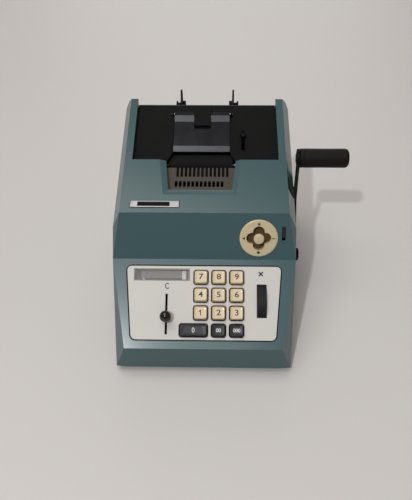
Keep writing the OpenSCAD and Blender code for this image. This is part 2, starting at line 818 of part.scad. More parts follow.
module crank_arm() color(black) in_frame() difference() {
    intersection() {
        along_x(half_w, half_w + 30) translate(hub) rotate(arm_angle) {
            circle(9);
            translate([0, -arm_w / 2]) square([arm_len, arm_w]);
            translate([arm_len, 0]) circle(grip_d / 2 - 0.4);
        }
        translate([0, hub[0], hub[1]]) rotate([arm_angle, 0, 0]) translate([0, 0, -30])
            linear_extrude(60) arm_edge();
    }
    rod(hub, shaft_r, half_w - 5, half_w + 30);
    rod(grip_at, spindle_r, half_w - 5, half_w + 30);
}

module hub_cap() color(black) in_frame() difference() {
    rod(hub, 6.4, arm_x + arm_t, arm_x + arm_t + 3.4);
    rod(hub, shaft_r, arm_x, arm_x + arm_t + 1);
}

module grip_spindle() color(steel) in_frame() {
    arm_in = arm_x + arm_bend_out;
    rod(grip_at, spindle_r, arm_in - 0.8, grip_x + grip_len - 6);
    rod(grip_at, 5.4, arm_in - 0.8, arm_in);
}

module crank_grip() color(black) in_frame() translate([grip_x, grip_at[0], grip_at[1]]) rotate([0, 90, 0]) {
    r = grip_d / 2;
    round_r = 4.2;
    bore = grip_len - 5.5;
    difference() {
        union() {
            cylinder(r = r, h = grip_len - round_r);
            cylinder(r = r - round_r, h = grip_len);
            translate([0, 0, grip_len - round_r]) rotate_extrude() translate([r - round_r, 0])
                intersection() {
                    circle(round_r);
                    square(round_r + 1);
                }
        }
        translate([0, 0, -1]) cylinder(r = spindle_r + fit, h = bore + 1);
    }
}

// A thin rubbing strip on the chamfer, beside the arm
module arm_pad() color(black) in_frame() intersection() {
    difference() {
        case_solid(-0.7, 0, back_y + 10);
        case_solid(0, -20, back_y + 20);
    }
    on_deck() box([rail_half_w + 0.3, 30.4, -chamfer_h + 0.4], [half_w + 8, 44.4, -0.4]);
}

module drive_gear() color(brass) in_frame() along_x(gear_x, gear_x + gear_t) translate(hub) difference() {
    gear(gear_teeth, gear_pitch_r, 2, 1.25);
    circle(shaft_r);
}

module cam_gear() color(brass) in_frame() {
    along_x(gear_x, gear_x + gear_t) translate(cam_at) rotate(180 / gear_teeth)
        gear(gear_teeth, gear_pitch_r, 2, 1.25);
    rod(cam_at, 4, -frame_in - frame_t, frame_in + frame_t);
    for (x = [-18, 2]) rod(cam_at + [0, -4], 9, x, x + 10);
}

// A wire swept along points, as rings of n sides
module wire(points, r, n) {
    count = len(points);
    ring = [for (i = [0:count - 1])
        let (
            along = unit(points[min(i + 1, count - 1)] - points[max(i - 1, 0)]),
            side = unit(cross(along, [1, 0.05, 0.02])),
            up = cross(side, along)
        )
        for (k = [0:n - 1]) points[i] + r * (cos(k * 360 / n) * side + sin(k * 360 / n) * up)];
    polyhedron(ring, concat(
        [[for (k = [n - 1:-1:0]) k]],
        [for (i = [0:count - 2], k = [0:n - 1])
            [i * n + k, i * n + (k + 1) % n, (i + 1) * n + (k + 1) % n]],
        [for (i = [0:count - 2], k = [0:n - 1])
            [i * n + k, (i + 1) * n + (k + 1) % n, (i + 1) * n + k]],
        [[for (k = [0:n - 1]) (count - 1) * n + k]]
    ));
}

module crank_return_spring() color(steel) in_frame() {
    x = -41.5;
    coil_r = 3.6;
    turns = 14;
    step = 10;
    span = ties[1] - spring_pin;
    dir = [0, span[0], span[1]] / norm(span);
    up = [0, -dir[2], dir[1]];
    pin_end = [x, spring_pin[0], spring_pin[1]];
    first = spring_pin_r + 0.1;
    last = norm(span) - tie_r - 0.1;
    wire(concat(
        [pin_end + first * dir, pin_end + (first + 2) * dir],
        [for (i = [0:turns * step])
            pin_end + (first + 5 + (last - first - 10) * i / (turns * step)) * dir
                + coil_r * (sin(i * 360 / step) * [1, 0, 0] + cos(i * 360 / step) * up)],
        [pin_end + (last - 2) * dir, pin_end + last * dir]
    ), 0.7, 5);
}

module paper_bracket() color(black) in_frame() {
    x0 = -roll_w / 2 - 0.35;
    x1 = roll_w / 2 - 0.35;
    blade = [
        [panel_y + panel_t, 95], [panel_y + panel_t, 125], roll_at + [-20, 4], roll_at + [-7, 12],
        roll_at + [-1.5, 18.8], roll_at + [1.5, 18.8], roll_at + [7, 8], roll_at + [8, 0],
        roll_at + [4, -9], roll_at + [-20, -26], [panel_y + panel_t + 10, 95]
    ];
    difference() {
        union() {
            box([x0 - arm_blade, panel_y + panel_t, 95], [x1 + arm_blade, panel_y + panel_t + 2, 125]);
            along_x(x0 - arm_blade, x0) polygon(blade);
            along_x(x1, x1 + arm_blade) polygon(blade);
        }
        rod(roll_at, peg_r, x0 - 20, x1 + 20);
    }
    rod(roll_at, peg_r, x0 - arm_blade, x0 + peg_len);
    rod(roll_at, peg_r, x1 - peg_len, x1 + arm_blade);
    for (x = [x0 - arm_blade - pin_len, x1 + arm_blade]) rod(roll_at, pin_r, x, x + pin_len);
    for (x = [x0 - arm_blade - pin_len - pin_head, x1 + arm_blade + pin_len])
        rod(roll_at, head_r, x, x + pin_head);
}

base_pan();
rubber_feet();
housing();
back_panel();
case_screws();
frame_left();
frame_right();
cross_rods();
shaft_bushings();
keyboard_plate();
key_guides();
key_spring_comb();
key(0, 3, black);  // key_0
key(1, 3, black);  // key_00
key(2, 3, black);  // key_000
key(0, 2, cream);  // key_1
key(1, 2, cream);  // key_2
key(2, 2, cream);  // key_3
key(0, 1, cream);  // key_4
key(1, 1, cream);  // key_5
key(2, 1, cream);  // key_6
key(0, 0, cream);  // key_7
key(1, 0, cream);  // key_8
key(2, 0, cream);  // key_9
window_tray();
window_lens();
column_pointer();
pin_carriage();
clear_knob();
clear_slider();
repeat_wheel();
selector_bezel();
selector_knob();
selector_slide();
print_slider();
name_plate();
mechanism_cover();
tear_lid();
lid_pin();
release_knob();
comb_plate();
type_bars();
totalizer();
platen_roller();
platen_shaft();
feed_roller();
paper_guide();
ribbon_deck();
ribbon_spool(spool_x[0]);  // ribbon_spool_left
ribbon_spool(spool_x[1]);  // ribbon_spool_right
main_shaft();
crank_arm();
hub_cap();
crank_grip();
grip_spindle();
arm_pad();
drive_gear();
cam_gear();
crank_return_spring();
paper_bracket();
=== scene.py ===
"""The looks of a hand-cranked ten-key adding machine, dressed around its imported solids.

Sizes are in millimetres and in the case's own frame: X from the case's middle plane,
Y from the front of the skirt and Z from the table. Layout turns them into the row
frame, in metres.
"""

import json
import logging
import math
from dataclasses import dataclass, field
from enum import Enum
from typing import Any, Callable, Iterable, Optional, Sequence

import bmesh
import bpy
from mathutils import Matrix, Vector
from mathutils.bvhtree import BVHTree

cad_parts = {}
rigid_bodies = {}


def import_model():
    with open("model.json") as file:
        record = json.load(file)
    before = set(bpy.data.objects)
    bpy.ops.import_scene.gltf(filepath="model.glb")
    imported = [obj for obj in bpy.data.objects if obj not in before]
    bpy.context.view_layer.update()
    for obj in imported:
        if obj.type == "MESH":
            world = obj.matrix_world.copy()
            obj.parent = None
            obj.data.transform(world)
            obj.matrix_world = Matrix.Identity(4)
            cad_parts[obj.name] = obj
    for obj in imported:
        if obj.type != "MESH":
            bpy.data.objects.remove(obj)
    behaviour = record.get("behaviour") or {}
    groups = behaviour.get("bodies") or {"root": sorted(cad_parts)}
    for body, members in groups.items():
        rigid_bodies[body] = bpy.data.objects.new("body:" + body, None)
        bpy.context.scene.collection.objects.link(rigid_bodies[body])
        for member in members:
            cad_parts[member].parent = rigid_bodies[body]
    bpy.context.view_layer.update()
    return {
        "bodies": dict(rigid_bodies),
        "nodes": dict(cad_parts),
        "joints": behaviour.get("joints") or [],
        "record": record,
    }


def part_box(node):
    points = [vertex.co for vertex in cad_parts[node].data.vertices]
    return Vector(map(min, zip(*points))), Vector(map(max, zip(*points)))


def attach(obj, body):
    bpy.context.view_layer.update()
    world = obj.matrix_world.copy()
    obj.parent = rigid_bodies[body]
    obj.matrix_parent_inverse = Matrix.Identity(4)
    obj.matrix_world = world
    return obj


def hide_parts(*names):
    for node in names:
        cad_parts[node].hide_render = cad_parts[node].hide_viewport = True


LOG = logging.getLogger("adding_machine")
MM = 0.001
MERGE_MM = 0.002
FLAT_ANGLE = math.radians(1.0)
FOLD_ANGLE = math.radians(20.0)
SMOOTH_ANGLE = math.radians(40.0)
EDGE_LAYER = "edge"
INK_MM = 0.03
INK_SPREAD_MM = 0.09
INK_LIFT_MM = 0.02
MARK_MM = 0.05
GREY = (0.5, 0.5, 0.5, 1.0)
PALE_GREY = (0.7, 0.7, 0.7, 1.0)

Colour = tuple[float, float, float]
Pair = tuple[float, float]
Point = tuple[float, float, float]
EdgePick = Callable[[bmesh.types.BMEdge], bool]


def tint(red: int, green: int, blue: int) -> Colour:
    """Turns a colour of 0 to 255 as seen on a screen into a linear one.

    Args:
        red: Red share.
        green: Green share.
        blue: Blue share.

    Returns:
        The linear colour.
    """
    shares = [value / 255 for value in (red, green, blue)]
    linear = [s / 12.92 if s <= 0.04045 else ((s + 0.055) / 1.055) ** 2.4 for s in shares]
    return linear[0], linear[1], linear[2]


# Where things are


@dataclass(frozen=True)
class Layout:
    """The case's driving sizes and its place in the row frame."""

    middle_x: float = 28.35
    middle_y: float = 144.3314
    skirt_top: float = 35.0
    panel_slope: float = 36.0
    panel_len: float = 87.3
    band_slope: float = 65.0
    band_len: float = 47.2
    deck_slope: float = 16.0

    def to_row(self) -> Matrix:
        """Gives the matrix from the case's frame in millimetres to the row frame."""
        return Matrix.Scale(MM, 4) @ Matrix.Translation((-self.middle_x, -self.middle_y, 0))

    def valley(self) -> Pair:
        """Gives Y and Z of the fold between keyboard panel and band."""
        angle = math.radians(self.panel_slope)
        return self.panel_len * math.cos(angle), self.skirt_top + self.panel_len * math.sin(angle)

    def brow(self) -> Pair:
        """Gives Y and Z of the edge between band and deck."""
        angle = math.radians(self.band_slope)
        y, z = self.valley()
        return y + self.band_len * math.cos(angle), z + self.band_len * math.sin(angle)

    def _slope(self, foot: Pair, angle: float, at: Point) -> Matrix:
        """Places a drawing on a sloping face.

        Args:
            foot: Y and Z of the face's lower edge.
            angle: Slope in degrees.
            at: The drawing's origin: X, distance up the slope, height off it.

        Returns:
            The matrix from the drawing in millimetres to the row frame.
        """
        turn = Matrix.Rotation(math.radians(angle), 4, "X")
        return self.to_row() @ Matrix.Translation((0, *foot)) @ turn @ Matrix.Translation(at)

    def on_panel(self, x: float = 0, along: float = 0, out: float = 0) -> Matrix:
        """Places a drawing on the keyboard panel."""
        return self._slope((0, self.skirt_top), self.panel_slope, (x, along, out))

    def on_band(self, x: float = 0, along: float = 0, out: float = 0) -> Matrix:
        """Places a drawing on the steep band."""
        return self._slope(self.valley(), self.band_slope, (x, along, out))

    def on_deck(self, x: float = 0, along: float = 0, out: float = 0) -> Matrix:
        """Places a drawing on the deck."""
        return self._slope(self.brow(), self.deck_slope, (x, along, out))

    def across(self, y: float, z: float, x: float = 0) -> Matrix:
        """Places a drawing whose local z runs along the case's X."""
        turn = Matrix.Rotation(math.radians(90), 4, "Y")
        return self.to_row() @ Matrix.Translation((x, y, z)) @ turn


# Shared shader effects


class NodeGroup:
    """A shader node group in the making."""

    def __init__(self, name: str, output: str, inputs: dict[str, Any]) -> None:
        """Starts a group with its sockets, where the word Color in a name makes it a colour.

        Args:
            name: The group's name.
            output: Name of its output.
            inputs: Each input's name and its value when nothing feeds it.
        """
        self.tree = bpy.data.node_groups.new(name, "ShaderNodeTree")
        for title, value in inputs.items():
            self._socket(title, "INPUT").default_value = value
        self._socket(output, "OUTPUT")
        self.source = self.tree.nodes.new("NodeGroupInput")
        self.sink = self.tree.nodes.new("NodeGroupOutput")

    def _socket(self, name: str, side: str) -> bpy.types.NodeTreeInterfaceSocket:
        """Adds a named socket at the input or the output."""
        kind = "NodeSocketColor" if "Color" in name else "NodeSocketFloat"
        return self.tree.interface.new_socket(name, in_out=side, socket_type=kind)

    def node(
        self, kind: str, operation: str, values: Optional[dict[int, float]] = None
    ) -> bpy.types.Node:
        """Adds a math node.

        Args:
            kind: The node's type, without its prefix.
            operation: Its operation.
            values: Input values by the input's position.

        Returns:
            The node.
        """
        made = self.tree.nodes.new("ShaderNode" + kind)
        made.operation = operation
        for position, value in (values or {}).items():
            made.inputs[position].default_value = value
        return made

    def link(self, start: bpy.types.NodeSocket, end: bpy.types.NodeSocket) -> None:
        """Joins two sockets."""
        self.tree.links.new(start, end)

    def noise(
        self, scale: str | float, detail: float, vector: Optional[bpy.types.NodeSocket] = None
    ) -> bpy.types.NodeSocket:
        """Adds a noise on Object coordinates.

        Args:
            scale: Its scale, or the name of the group input that sets it.
            detail: Its octaves.
            vector: Other coordinates, instead of Object.

        Returns:
            The noise's value socket.
        """
        noise = self.tree.nodes.new("ShaderNodeTexNoise")
        noise.inputs["Detail"].default_value = detail
        if vector is None:
            vector = self.tree.nodes.new("ShaderNodeTexCoord").outputs["Object"]
        self.link(vector, noise.inputs["Vector"])
        if isinstance(scale, str):
            self.link(self.source.outputs[scale], noise.inputs["Scale"])
        else:
            noise.inputs["Scale"].default_value = scale
        return noise.outputs[0]

    def swing(self, detail: float) -> bpy.types.NodeSocket:
        """Adds a noise about zero, by the group's inputs Scale and Amount.

        Args:
            detail: Its octaves.

        Returns:
            The value socket.
        """
        centred = self.node("Math", "SUBTRACT", {1: 0.5})
        scaled = self.node("Math", "MULTIPLY")
        self.link(self.noise("Scale", detail), centred.inputs[0])
        self.link(centred.outputs[0], scaled.inputs[0])
        self.link(self.source.outputs["Amount"], scaled.inputs[1])
        return scaled.outputs[0]


class Effects:
    """The node groups that several finishes share."""

    def __init__(self) -> None:
        """Builds each group once."""
        self.tone = self._tone()
        self.peel = self._peel()
        self.streaks = self._streaks()
        self.wear = self._wear()
        self.film = self._film()

    def _tone(self) -> bpy.types.NodeTree:
        """Builds a soft change of tone over a colour."""
        group = NodeGroup("tone_variation", "Color", {"Color": GREY, "Scale": 18.0, "Amount": 0.06})
        factor = group.node("Math", "ADD", {1: 1.0})
        shaded = group.node("VectorMath", "SCALE")
        group.link(group.swing(5.0), factor.inputs[0])
        group.link(group.source.outputs["Color"], shaded.inputs[0])
        group.link(factor.outputs[0], shaded.inputs["Scale"])
        group.link(shaded.outputs[0], group.sink.inputs["Color"])
        return group.tree

    def _peel(self) -> bpy.types.NodeTree:
        """Builds the even speckle of sprayed paint or moulded plastic."""
        group = NodeGroup("fine_peel", "Height", {"Scale": 900.0})
        group.link(group.noise("Scale", 2.0), group.sink.inputs["Height"])
        return group.tree

    def _streaks(self) -> bpy.types.NodeTree:
        """Builds streaks along X, as on rolled, brushed or turned metal."""
        group = NodeGroup("brushed_streaks", "Height", {"Scale": 900.0})
        mapping = group.tree.nodes.new("ShaderNodeMapping")
        mapping.inputs["Scale"].default_value = (0.03, 1.0, 1.0)
        coordinates = group.tree.nodes.new("ShaderNodeTexCoord")
        group.link(coordinates.outputs["Object"], mapping.inputs["Vector"])
        value = group.noise("Scale", 3.0, mapping.outputs["Vector"])
        group.link(value, group.sink.inputs["Height"])
        return group.tree

    def _wear(self) -> bpy.types.NodeTree:
        """Builds lighter spots along the softened edges: rubbed paint on most finishes, and on the repeat
        wheel a painted highlight along its rims.
        """
        inputs = {"Color": GREY, "Worn And Highlight Color": PALE_GREY, "Amount": 0.3}
        group = NodeGroup("edge_wear_and_highlight", "Color", inputs)
        edge = group.tree.nodes.new("ShaderNodeAttribute")
        edge.attribute_name = EDGE_LAYER
        spots = group.node("Math", "MULTIPLY_ADD", {1: 4.0, 2: -1.7})
        spots.use_clamp = True
        masked = group.node("Math", "MULTIPLY")
        amount = group.node("Math", "MULTIPLY")
        mix = group.tree.nodes.new("ShaderNodeMix")
        mix.data_type = "RGBA"
        group.link(group.noise(160.0, 6.0), spots.inputs[0])
        group.link(spots.outputs[0], masked.inputs[0])
        group.link(edge.outputs["Fac"], masked.inputs[1])
        group.link(masked.outputs[0], amount.inputs[0])
        group.link(group.source.outputs["Amount"], amount.inputs[1])
        group.link(amount.outputs[0], mix.inputs["Factor"])
        colours = [socket for socket in mix.inputs if socket.type == "RGBA"]
        group.link(group.source.outputs["Color"], colours[0])
        group.link(group.source.outputs["Worn And Highlight Color"], colours[1])
        result = [socket for socket in mix.outputs if socket.type == "RGBA"][0]
        group.link(result, group.sink.inputs["Color"])
        return group.tree

    def _film(self) -> bpy.types.NodeTree:
        """Builds the uneven dullness of handled and dusty surfaces."""
        inputs = {"Roughness": 0.4, "Scale": 60.0, "Amount": 0.1}
        group = NodeGroup("handled_film", "Roughness", inputs)
        summed = group.node("Math", "ADD")
        summed.use_clamp = True
        group.link(group.swing(6.0), summed.inputs[0])
        group.link(group.source.outputs["Roughness"], summed.inputs[1])
        group.link(summed.outputs[0], group.sink.inputs["Roughness"])
        return group.tree


# Finishes


class Relief(Enum):
    """How the fine relief of a finish runs."""

    PEEL = "peel"
    STREAKS = "streaks"


@dataclass(frozen=True)
class Finish:
    """One surface finish, made of the shared effects."""

    name: str
    colour: Colour
    roughness: float
    metallic: float = 0.0
    specular: float = 0.5
    coat: float = 0.0
    coat_rough: float = 0.08
    alpha: float = 1.0
    relief: Relief = Relief.PEEL
    relief_scale: float = 900.0
    relief_depth: float = 0.03
    tone_scale: float = 18.0
    tone: float = 0.12
    film_scale: float = 60.0
    film: float = 0.15
    # Colour and amount of the lighter spots on softened edges: rubbed wear, and on the repeat wheel a painted
    # highlight.
    worn: Colour = (0.5, 0.5, 0.5)
    wear: float = 0.0

    def material(self, effects: Effects) -> bpy.types.Material:
        """Makes the material, or finds it if it was made before.

        Args:
            effects: The shared node groups.

        Returns:
            The material.
        """
        found = bpy.data.materials.get(self.name)
        if found is not None:
            return found
        material = bpy.data.materials.new(self.name)
        material.use_nodes = True
        nodes = material.node_tree.nodes
        links = material.node_tree.links
        shader = nodes["Principled BSDF"]
        shader.inputs["Metallic"].default_value = self.metallic
        shader.inputs["Specular IOR Level"].default_value = self.specular
        shader.inputs["Coat Weight"].default_value = self.coat
        shader.inputs["Coat Roughness"].default_value = self.coat_rough
        shader.inputs["Alpha"].default_value = self.alpha

        tone = self._group(nodes, effects.tone, Scale=self.tone_scale, Amount=self.tone)
        tone.inputs["Color"].default_value = (*self.colour, 1)
        wear = self._group(nodes, effects.wear, Amount=self.wear)
        wear.inputs["Worn And Highlight Color"].default_value = (*self.worn, 1)
        links.new(tone.outputs["Color"], wear.inputs["Color"])
        links.new(wear.outputs["Color"], shader.inputs["Base Color"])

        film = self._group(nodes, effects.film, Scale=self.film_scale, Amount=self.film)
        film.inputs["Roughness"].default_value = self.roughness
        links.new(film.outputs["Roughness"], shader.inputs["Roughness"])

        tree = effects.peel if self.relief is Relief.PEEL else effects.streaks
        height = self._group(nodes, tree, Scale=self.relief_scale)
        bump = nodes.new("ShaderNodeBump")
        bump.inputs["Strength"].default_value = self.relief_depth
        bump.inputs["Distance"].default_value = 0.1 * MM
        links.new(height.outputs["Height"], bump.inputs["Height"])
        links.new(bump.outputs["Normal"], shader.inputs["Normal"])
        return material

    @staticmethod
    def _group(nodes: bpy.types.Nodes, tree: bpy.types.NodeTree, **values: float) -> bpy.types.Node:
        """Places a node group with its values.

        Args:
            nodes: The material's nodes.
            tree: The group.
            **values: Values of its inputs.

        Returns:
            The group node.
        """
        made = nodes.new("ShaderNodeGroup")
        made.node_tree = tree
        for name, value in values.items():
            made.inputs[name].default_value = value
        return made


CASE_PAINT = Finish(
    "case_enamel", tint(63, 89, 93), 0.5, specular=0.1, coat=0.8, coat_rough=0.2, relief_scale=1400,
    relief_depth=0.05, tone=0.06, tone_scale=14, film=0.12, worn=tint(150, 165, 166), wear=0.5,
)
BLACK_PAINT = Finish(
    "black_enamel", tint(15, 15, 15), 0.6, specular=0.1, relief_scale=1600, relief_depth=0.2,
    tone=0.3, film=0.2, worn=tint(72, 71, 70), wear=0.35,
)
BACK_PAINT = Finish(
    "back_enamel", tint(36, 37, 39), 0.55, specular=0.2, relief_scale=900, relief_depth=0.35,
    tone=0.25, tone_scale=18, film=0.2, worn=tint(96, 96, 97), wear=0.4,
)
LID_PAINT = Finish(
    "lid_enamel", tint(18, 20, 26), 0.2, specular=0.5, relief_scale=1500, relief_depth=0.12,
    tone=0.15, worn=tint(130, 130, 134), wear=0.45,
)
PLATE_PAINT = Finish(
    "plate_enamel", tint(205, 201, 196), 0.5, specular=0.3, relief_scale=1800, relief_depth=0.06,
    tone=0.05, tone_scale=22, film=0.12, worn=tint(150, 142, 134), wear=0.3,
)
COMB_PAINT = Finish(
    "comb_enamel", tint(72, 65, 58), 0.55, specular=0.25, relief_scale=1200, relief_depth=0.2,
    tone=0.25, tone_scale=60, worn=tint(140, 132, 122), wear=0.4,
)
CREAM_PLASTIC = Finish(
    "key_cream", tint(214, 194, 160), 0.38, coat=0.15, relief_scale=700, relief_depth=0.02,
    tone=0.10, tone_scale=45, film=0.14, worn=tint(236, 222, 190), wear=0.4,
)
SELECTOR_PLASTIC = Finish(
    "selector_cream", tint(200, 184, 150), 0.38, coat=0.1, relief_scale=700, relief_depth=0.02,
    tone=0.16, tone_scale=50, film=0.16, worn=tint(190, 165, 120), wear=0.4,
)
# The disc in the selector's clover, darkened to dark brown as painted shade of the hollow round the button.
DISC_PAINTED_SHADE = Finish(
    "selector_well_painted_shade", tint(92, 70, 44), 0.6, specular=0.2, relief_scale=500, relief_depth=0.05,
    tone=0.4, tone_scale=120,
)
BLACK_PLASTIC = Finish(
    "black_moulding", tint(34, 32, 38), 0.4, specular=0.3, relief_scale=600, relief_depth=0.02,
    tone=0.25, film=0.2, worn=tint(96, 94, 100), wear=0.4,
)
# The repeat wheel's light worn colour on its rounded rims is a painted highlight.
WHEEL_PAINTED_HIGHLIGHT = Finish(
    "wheel_black_painted_highlight", tint(26, 25, 28), 0.5, specular=0.2, relief_scale=600, relief_depth=0.02,
    tone=0.25, film=0.15, worn=tint(140, 138, 142), wear=0.7,
)
KNOB_PLASTIC = Finish(
    "ball_black", tint(16, 16, 17), 0.14, coat=0.3, relief_scale=400, relief_depth=0.01, tone=0.2, film=0.1,
)
GRIP_PLASTIC = Finish(
    "grip_black", tint(22, 20, 18), 0.55, specular=0.15, relief_scale=500, relief_depth=0.1,
    tone=0.3, film=0.25, worn=tint(60, 58, 56), wear=0.3,
)
WHITE_PLASTIC = Finish("pointer_white", tint(238, 236, 232), 0.5, tone=0.05)
STEEL = Finish(
    "plain_steel", tint(150, 151, 153), 0.38, metallic=1.0, relief=Relief.STREAKS, relief_scale=1500,
    relief_depth=0.15, tone=0.2, tone_scale=40, film=0.2, worn=tint(190, 190, 190), wear=0.3,
)
DARK_STEEL = Finish(
    "dark_steel", tint(44, 42, 40), 0.55, metallic=0.5, specular=0.2, relief=Relief.STREAKS,
    relief_scale=1500, relief_depth=0.15, tone=0.3, tone_scale=40, film=0.2,
)
BAR_METAL = Finish(
    "bar_metal", tint(18, 16, 14), 0.7, specular=0.08, relief=Relief.STREAKS,
    relief_scale=1500, relief_depth=0.15, tone=0.3, tone_scale=60, film=0.2,
)
TRAY_METAL = Finish(
    "tray_metal", tint(124, 120, 116), 0.5, metallic=0.2, relief=Relief.STREAKS, relief_scale=900,
    relief_depth=0.2, tone=0.2, tone_scale=60,
)
BRASS = Finish(
    "plain_brass", tint(176, 142, 78), 0.36, metallic=1.0, relief=Relief.STREAKS, relief_scale=1500,
    relief_depth=0.12, tone=0.25, tone_scale=50, film=0.2,
)
PLATE_METAL = Finish(
    "plate_metal", tint(172, 173, 176), 0.4, metallic=0.5, relief=Relief.STREAKS, relief_scale=1800,
    relief_depth=0.1, tone=0.12, tone_scale=60, worn=tint(225, 225, 222), wear=0.4,
)
RUBBER = Finish(
    "dark_rubber", tint(20, 20, 20), 0.75, specular=0.12, relief_scale=1200, relief_depth=0.4,
    tone=0.3, film=0.1,
)
LENS = Finish("clear_lens", tint(176, 174, 172), 0.1, alpha=0.16, tone=0.04, film=0.05, relief_depth=0.01)
BROWN_INK = Finish("brown_ink", tint(56, 39, 24), 0.6, tone=0.2, tone_scale=200)
WHITE_INK = Finish("white_ink", tint(226, 224, 218), 0.6, tone=0.06, tone_scale=200)
# Dark brown ink for painted shade: the lines round the key holes and round the plate stand in for the shade
# in those gaps.
GAP_SHADE_INK = Finish("painted_gap_shade", tint(24, 20, 16), 0.7, specular=0.2, tone=0.3, tone_scale=200)
BLACK_INK = Finish("black_ink", tint(34, 32, 31), 0.6, tone=0.2, tone_scale=200)
TABLE = Finish(
    "table_top", tint(208, 204, 201), 0.5, tone=0.03, tone_scale=3, relief_scale=200, relief_depth=0.05,
)


# Mesh making


def trapezoid(along: Pair, half: Pair, x: float = 0) -> list[Pair]:
    """Draws the corners of an upright trapezoid.

    Args:
        along: Heights of its lower and upper edges.
        half: Half widths at these edges.
        x: Place of its middle.

    Returns:
        Points of x and y, counter-clockwise.
    """
    low, high = along
    half_low, half_high = half
    return [(x - half_low, low), (x + half_low, low), (x + half_high, high), (x - half_high, high)]


def quarter_round(radius: float, top: float, edge: float) -> list[Pair]:
    """Draws the rounded edge of a turned end, as a profile of radius and height.

    Args:
        radius: Outer radius.
        top: Height of the end.
        edge: Radius of the rounding.

    Returns:
        Points from the side up to the end.
    """
    angles = [math.radians(degrees) for degrees in range(0, 91, 15)]
    return [
        (radius - edge + edge * math.cos(angle), top - edge + edge * math.sin(angle)) for angle in angles
    ]


class Shape:
    """A mesh in the making."""

    def __init__(self) -> None:
        """Starts an empty mesh with a layer that marks softened edges."""
        self.bm = bmesh.new()
        self.bm.verts.layers.float.new(EDGE_LAYER)

    @classmethod
    def of_node(cls, node: str) -> "Shape":
        """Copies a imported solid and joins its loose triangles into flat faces.

        Args:
            node: The solid's name.

        Returns:
            The copy, in the row frame.
        """
        shape = cls()
        shape.bm.from_mesh(bpy.data.objects[node].data)
        if shape.bm.verts.layers.float.get(EDGE_LAYER) is None:
            shape.bm.verts.layers.float.new(EDGE_LAYER)
        bmesh.ops.remove_doubles(shape.bm, verts=shape.bm.verts[:], dist=MERGE_MM * MM)
        bmesh.ops.dissolve_limit(
            shape.bm, angle_limit=FLAT_ANGLE, verts=shape.bm.verts[:], edges=shape.bm.edges[:]
        )
        return shape

    def box(self, low: Point, high: Point) -> list[bmesh.types.BMVert]:
        """Adds a box between two corners.

        Args:
            low: The lowest corner.
            high: The highest corner.

        Returns:
            Its vertices.
        """
        size = [b - a for a, b in zip(low, high)]
        centre = [(a + b) / 2 for a, b in zip(low, high)]
        matrix = Matrix.Translation(centre) @ Matrix.Diagonal((*size, 1))
        return bmesh.ops.create_cube(self.bm, size=1, matrix=matrix)["verts"]

    def lathe(self, profile: Sequence[Pair], steps: int = 64) -> None:
        """Spins a profile of radius and height about the local z.

        Args:
            profile: Points of radius and height, from one end to the other.
            steps: Sides of the turned shape.
        """
        verts = [self.bm.verts.new((radius, 0, height)) for radius, height in profile]
        edges = [self.bm.edges.new(pair) for pair in zip(verts, verts[1:])]
        bmesh.ops.spin(
            self.bm, geom=verts + edges, cent=(0, 0, 0), axis=(0, 0, 1), angle=math.tau,
            steps=steps, use_merge=True, use_duplicate=False,
        )
        bmesh.ops.remove_doubles(self.bm, verts=self.bm.verts[:], dist=MERGE_MM)
        bmesh.ops.recalc_face_normals(self.bm, faces=self.bm.faces[:])

    def ring(self, outer: Point, inner: Point, thick: float, segments: int = 28) -> None:
        """Adds a flat oval ring of some thickness.

        Args:
            outer: Half sizes of the outer oval in x and y, and the ring's x place.
            inner: Half sizes of the inner oval in x and y, and its x place.
            thick: Height of the ring.
            segments: Sides of each oval.
        """
        edges: list[bmesh.types.BMEdge] = []
        for half_x, half_y, x in (outer, inner):
            matrix = Matrix.Translation((x, 0, 0)) @ Matrix.Diagonal((half_x, half_y, 1, 1))
            made = bmesh.ops.create_circle(self.bm, segments=segments, radius=1, matrix=matrix)
            edges += list({edge for vert in made["verts"] for edge in vert.link_edges})
        faces = bmesh.ops.bridge_loops(self.bm, edges=edges)["faces"]
        bmesh.ops.recalc_face_normals(self.bm, faces=faces)
        bmesh.ops.solidify(self.bm, geom=faces, thickness=thick)

    def turn(self, verts: Sequence[bmesh.types.BMVert], degrees: float) -> None:
        """Turns some vertices about the local z."""
        matrix = Matrix.Rotation(math.radians(degrees), 3, "Z")
        bmesh.ops.rotate(self.bm, verts=verts, matrix=matrix)

    def bevel(
        self, edges: Iterable[bmesh.types.BMEdge], width: float, segments: int
    ) -> list[bmesh.types.BMFace]:
        """Rounds edges.

        Args:
            edges: The edges.
            width: Width of the rounding.
            segments: Steps of the rounding.

        Returns:
            The faces of the rounding.
        """
        made = bmesh.ops.bevel(
            self.bm, geom=list(edges), offset=width, offset_type="OFFSET", segments=segments, profile=0.5,
            affect="EDGES", clamp_overlap=True, material=-1,
        )
        self.bm.normal_update()
        return made["faces"]

    def top_face(self, but: Iterable[bmesh.types.BMFace] = ()) -> bmesh.types.BMFace:
        """Finds the largest face that looks up.

        Args:
            but: Faces that don't count.

        Returns:
            The face.
        """
        faces = set(self.bm.faces).difference(but)
        return max(faces, key=lambda face: face.calc_area() * (face.normal.z > 0.99))

    def frame(self, outline: Iterable[Pair], corner: float, width: float, thick: float = INK_MM) -> None:
        """Adds a thin flat frame with rounded corners.

        Args:
            outline: Points of x and y, one for each outer corner.
            corner: Rounding of its outer corners.
            width: Width of its bars.
            thick: How thick it is.
        """
        before = set(self.bm.faces)
        verts = self.slab(outline, -1, 0)
        links = [(vert, edge) for vert in verts for edge in vert.link_edges]
        uprights = {edge for vert, edge in links if edge.other_vert(vert) not in verts}
        self.bevel(uprights, corner, 4)
        top = self.top_face(before)
        bars = bmesh.ops.inset_region(self.bm, faces=[top], thickness=width, depth=0)["faces"]
        spare = set(self.bm.faces) - before - set(bars)
        bmesh.ops.delete(self.bm, geom=list(spare), context="FACES")
        bmesh.ops.solidify(self.bm, geom=bars, thickness=thick)

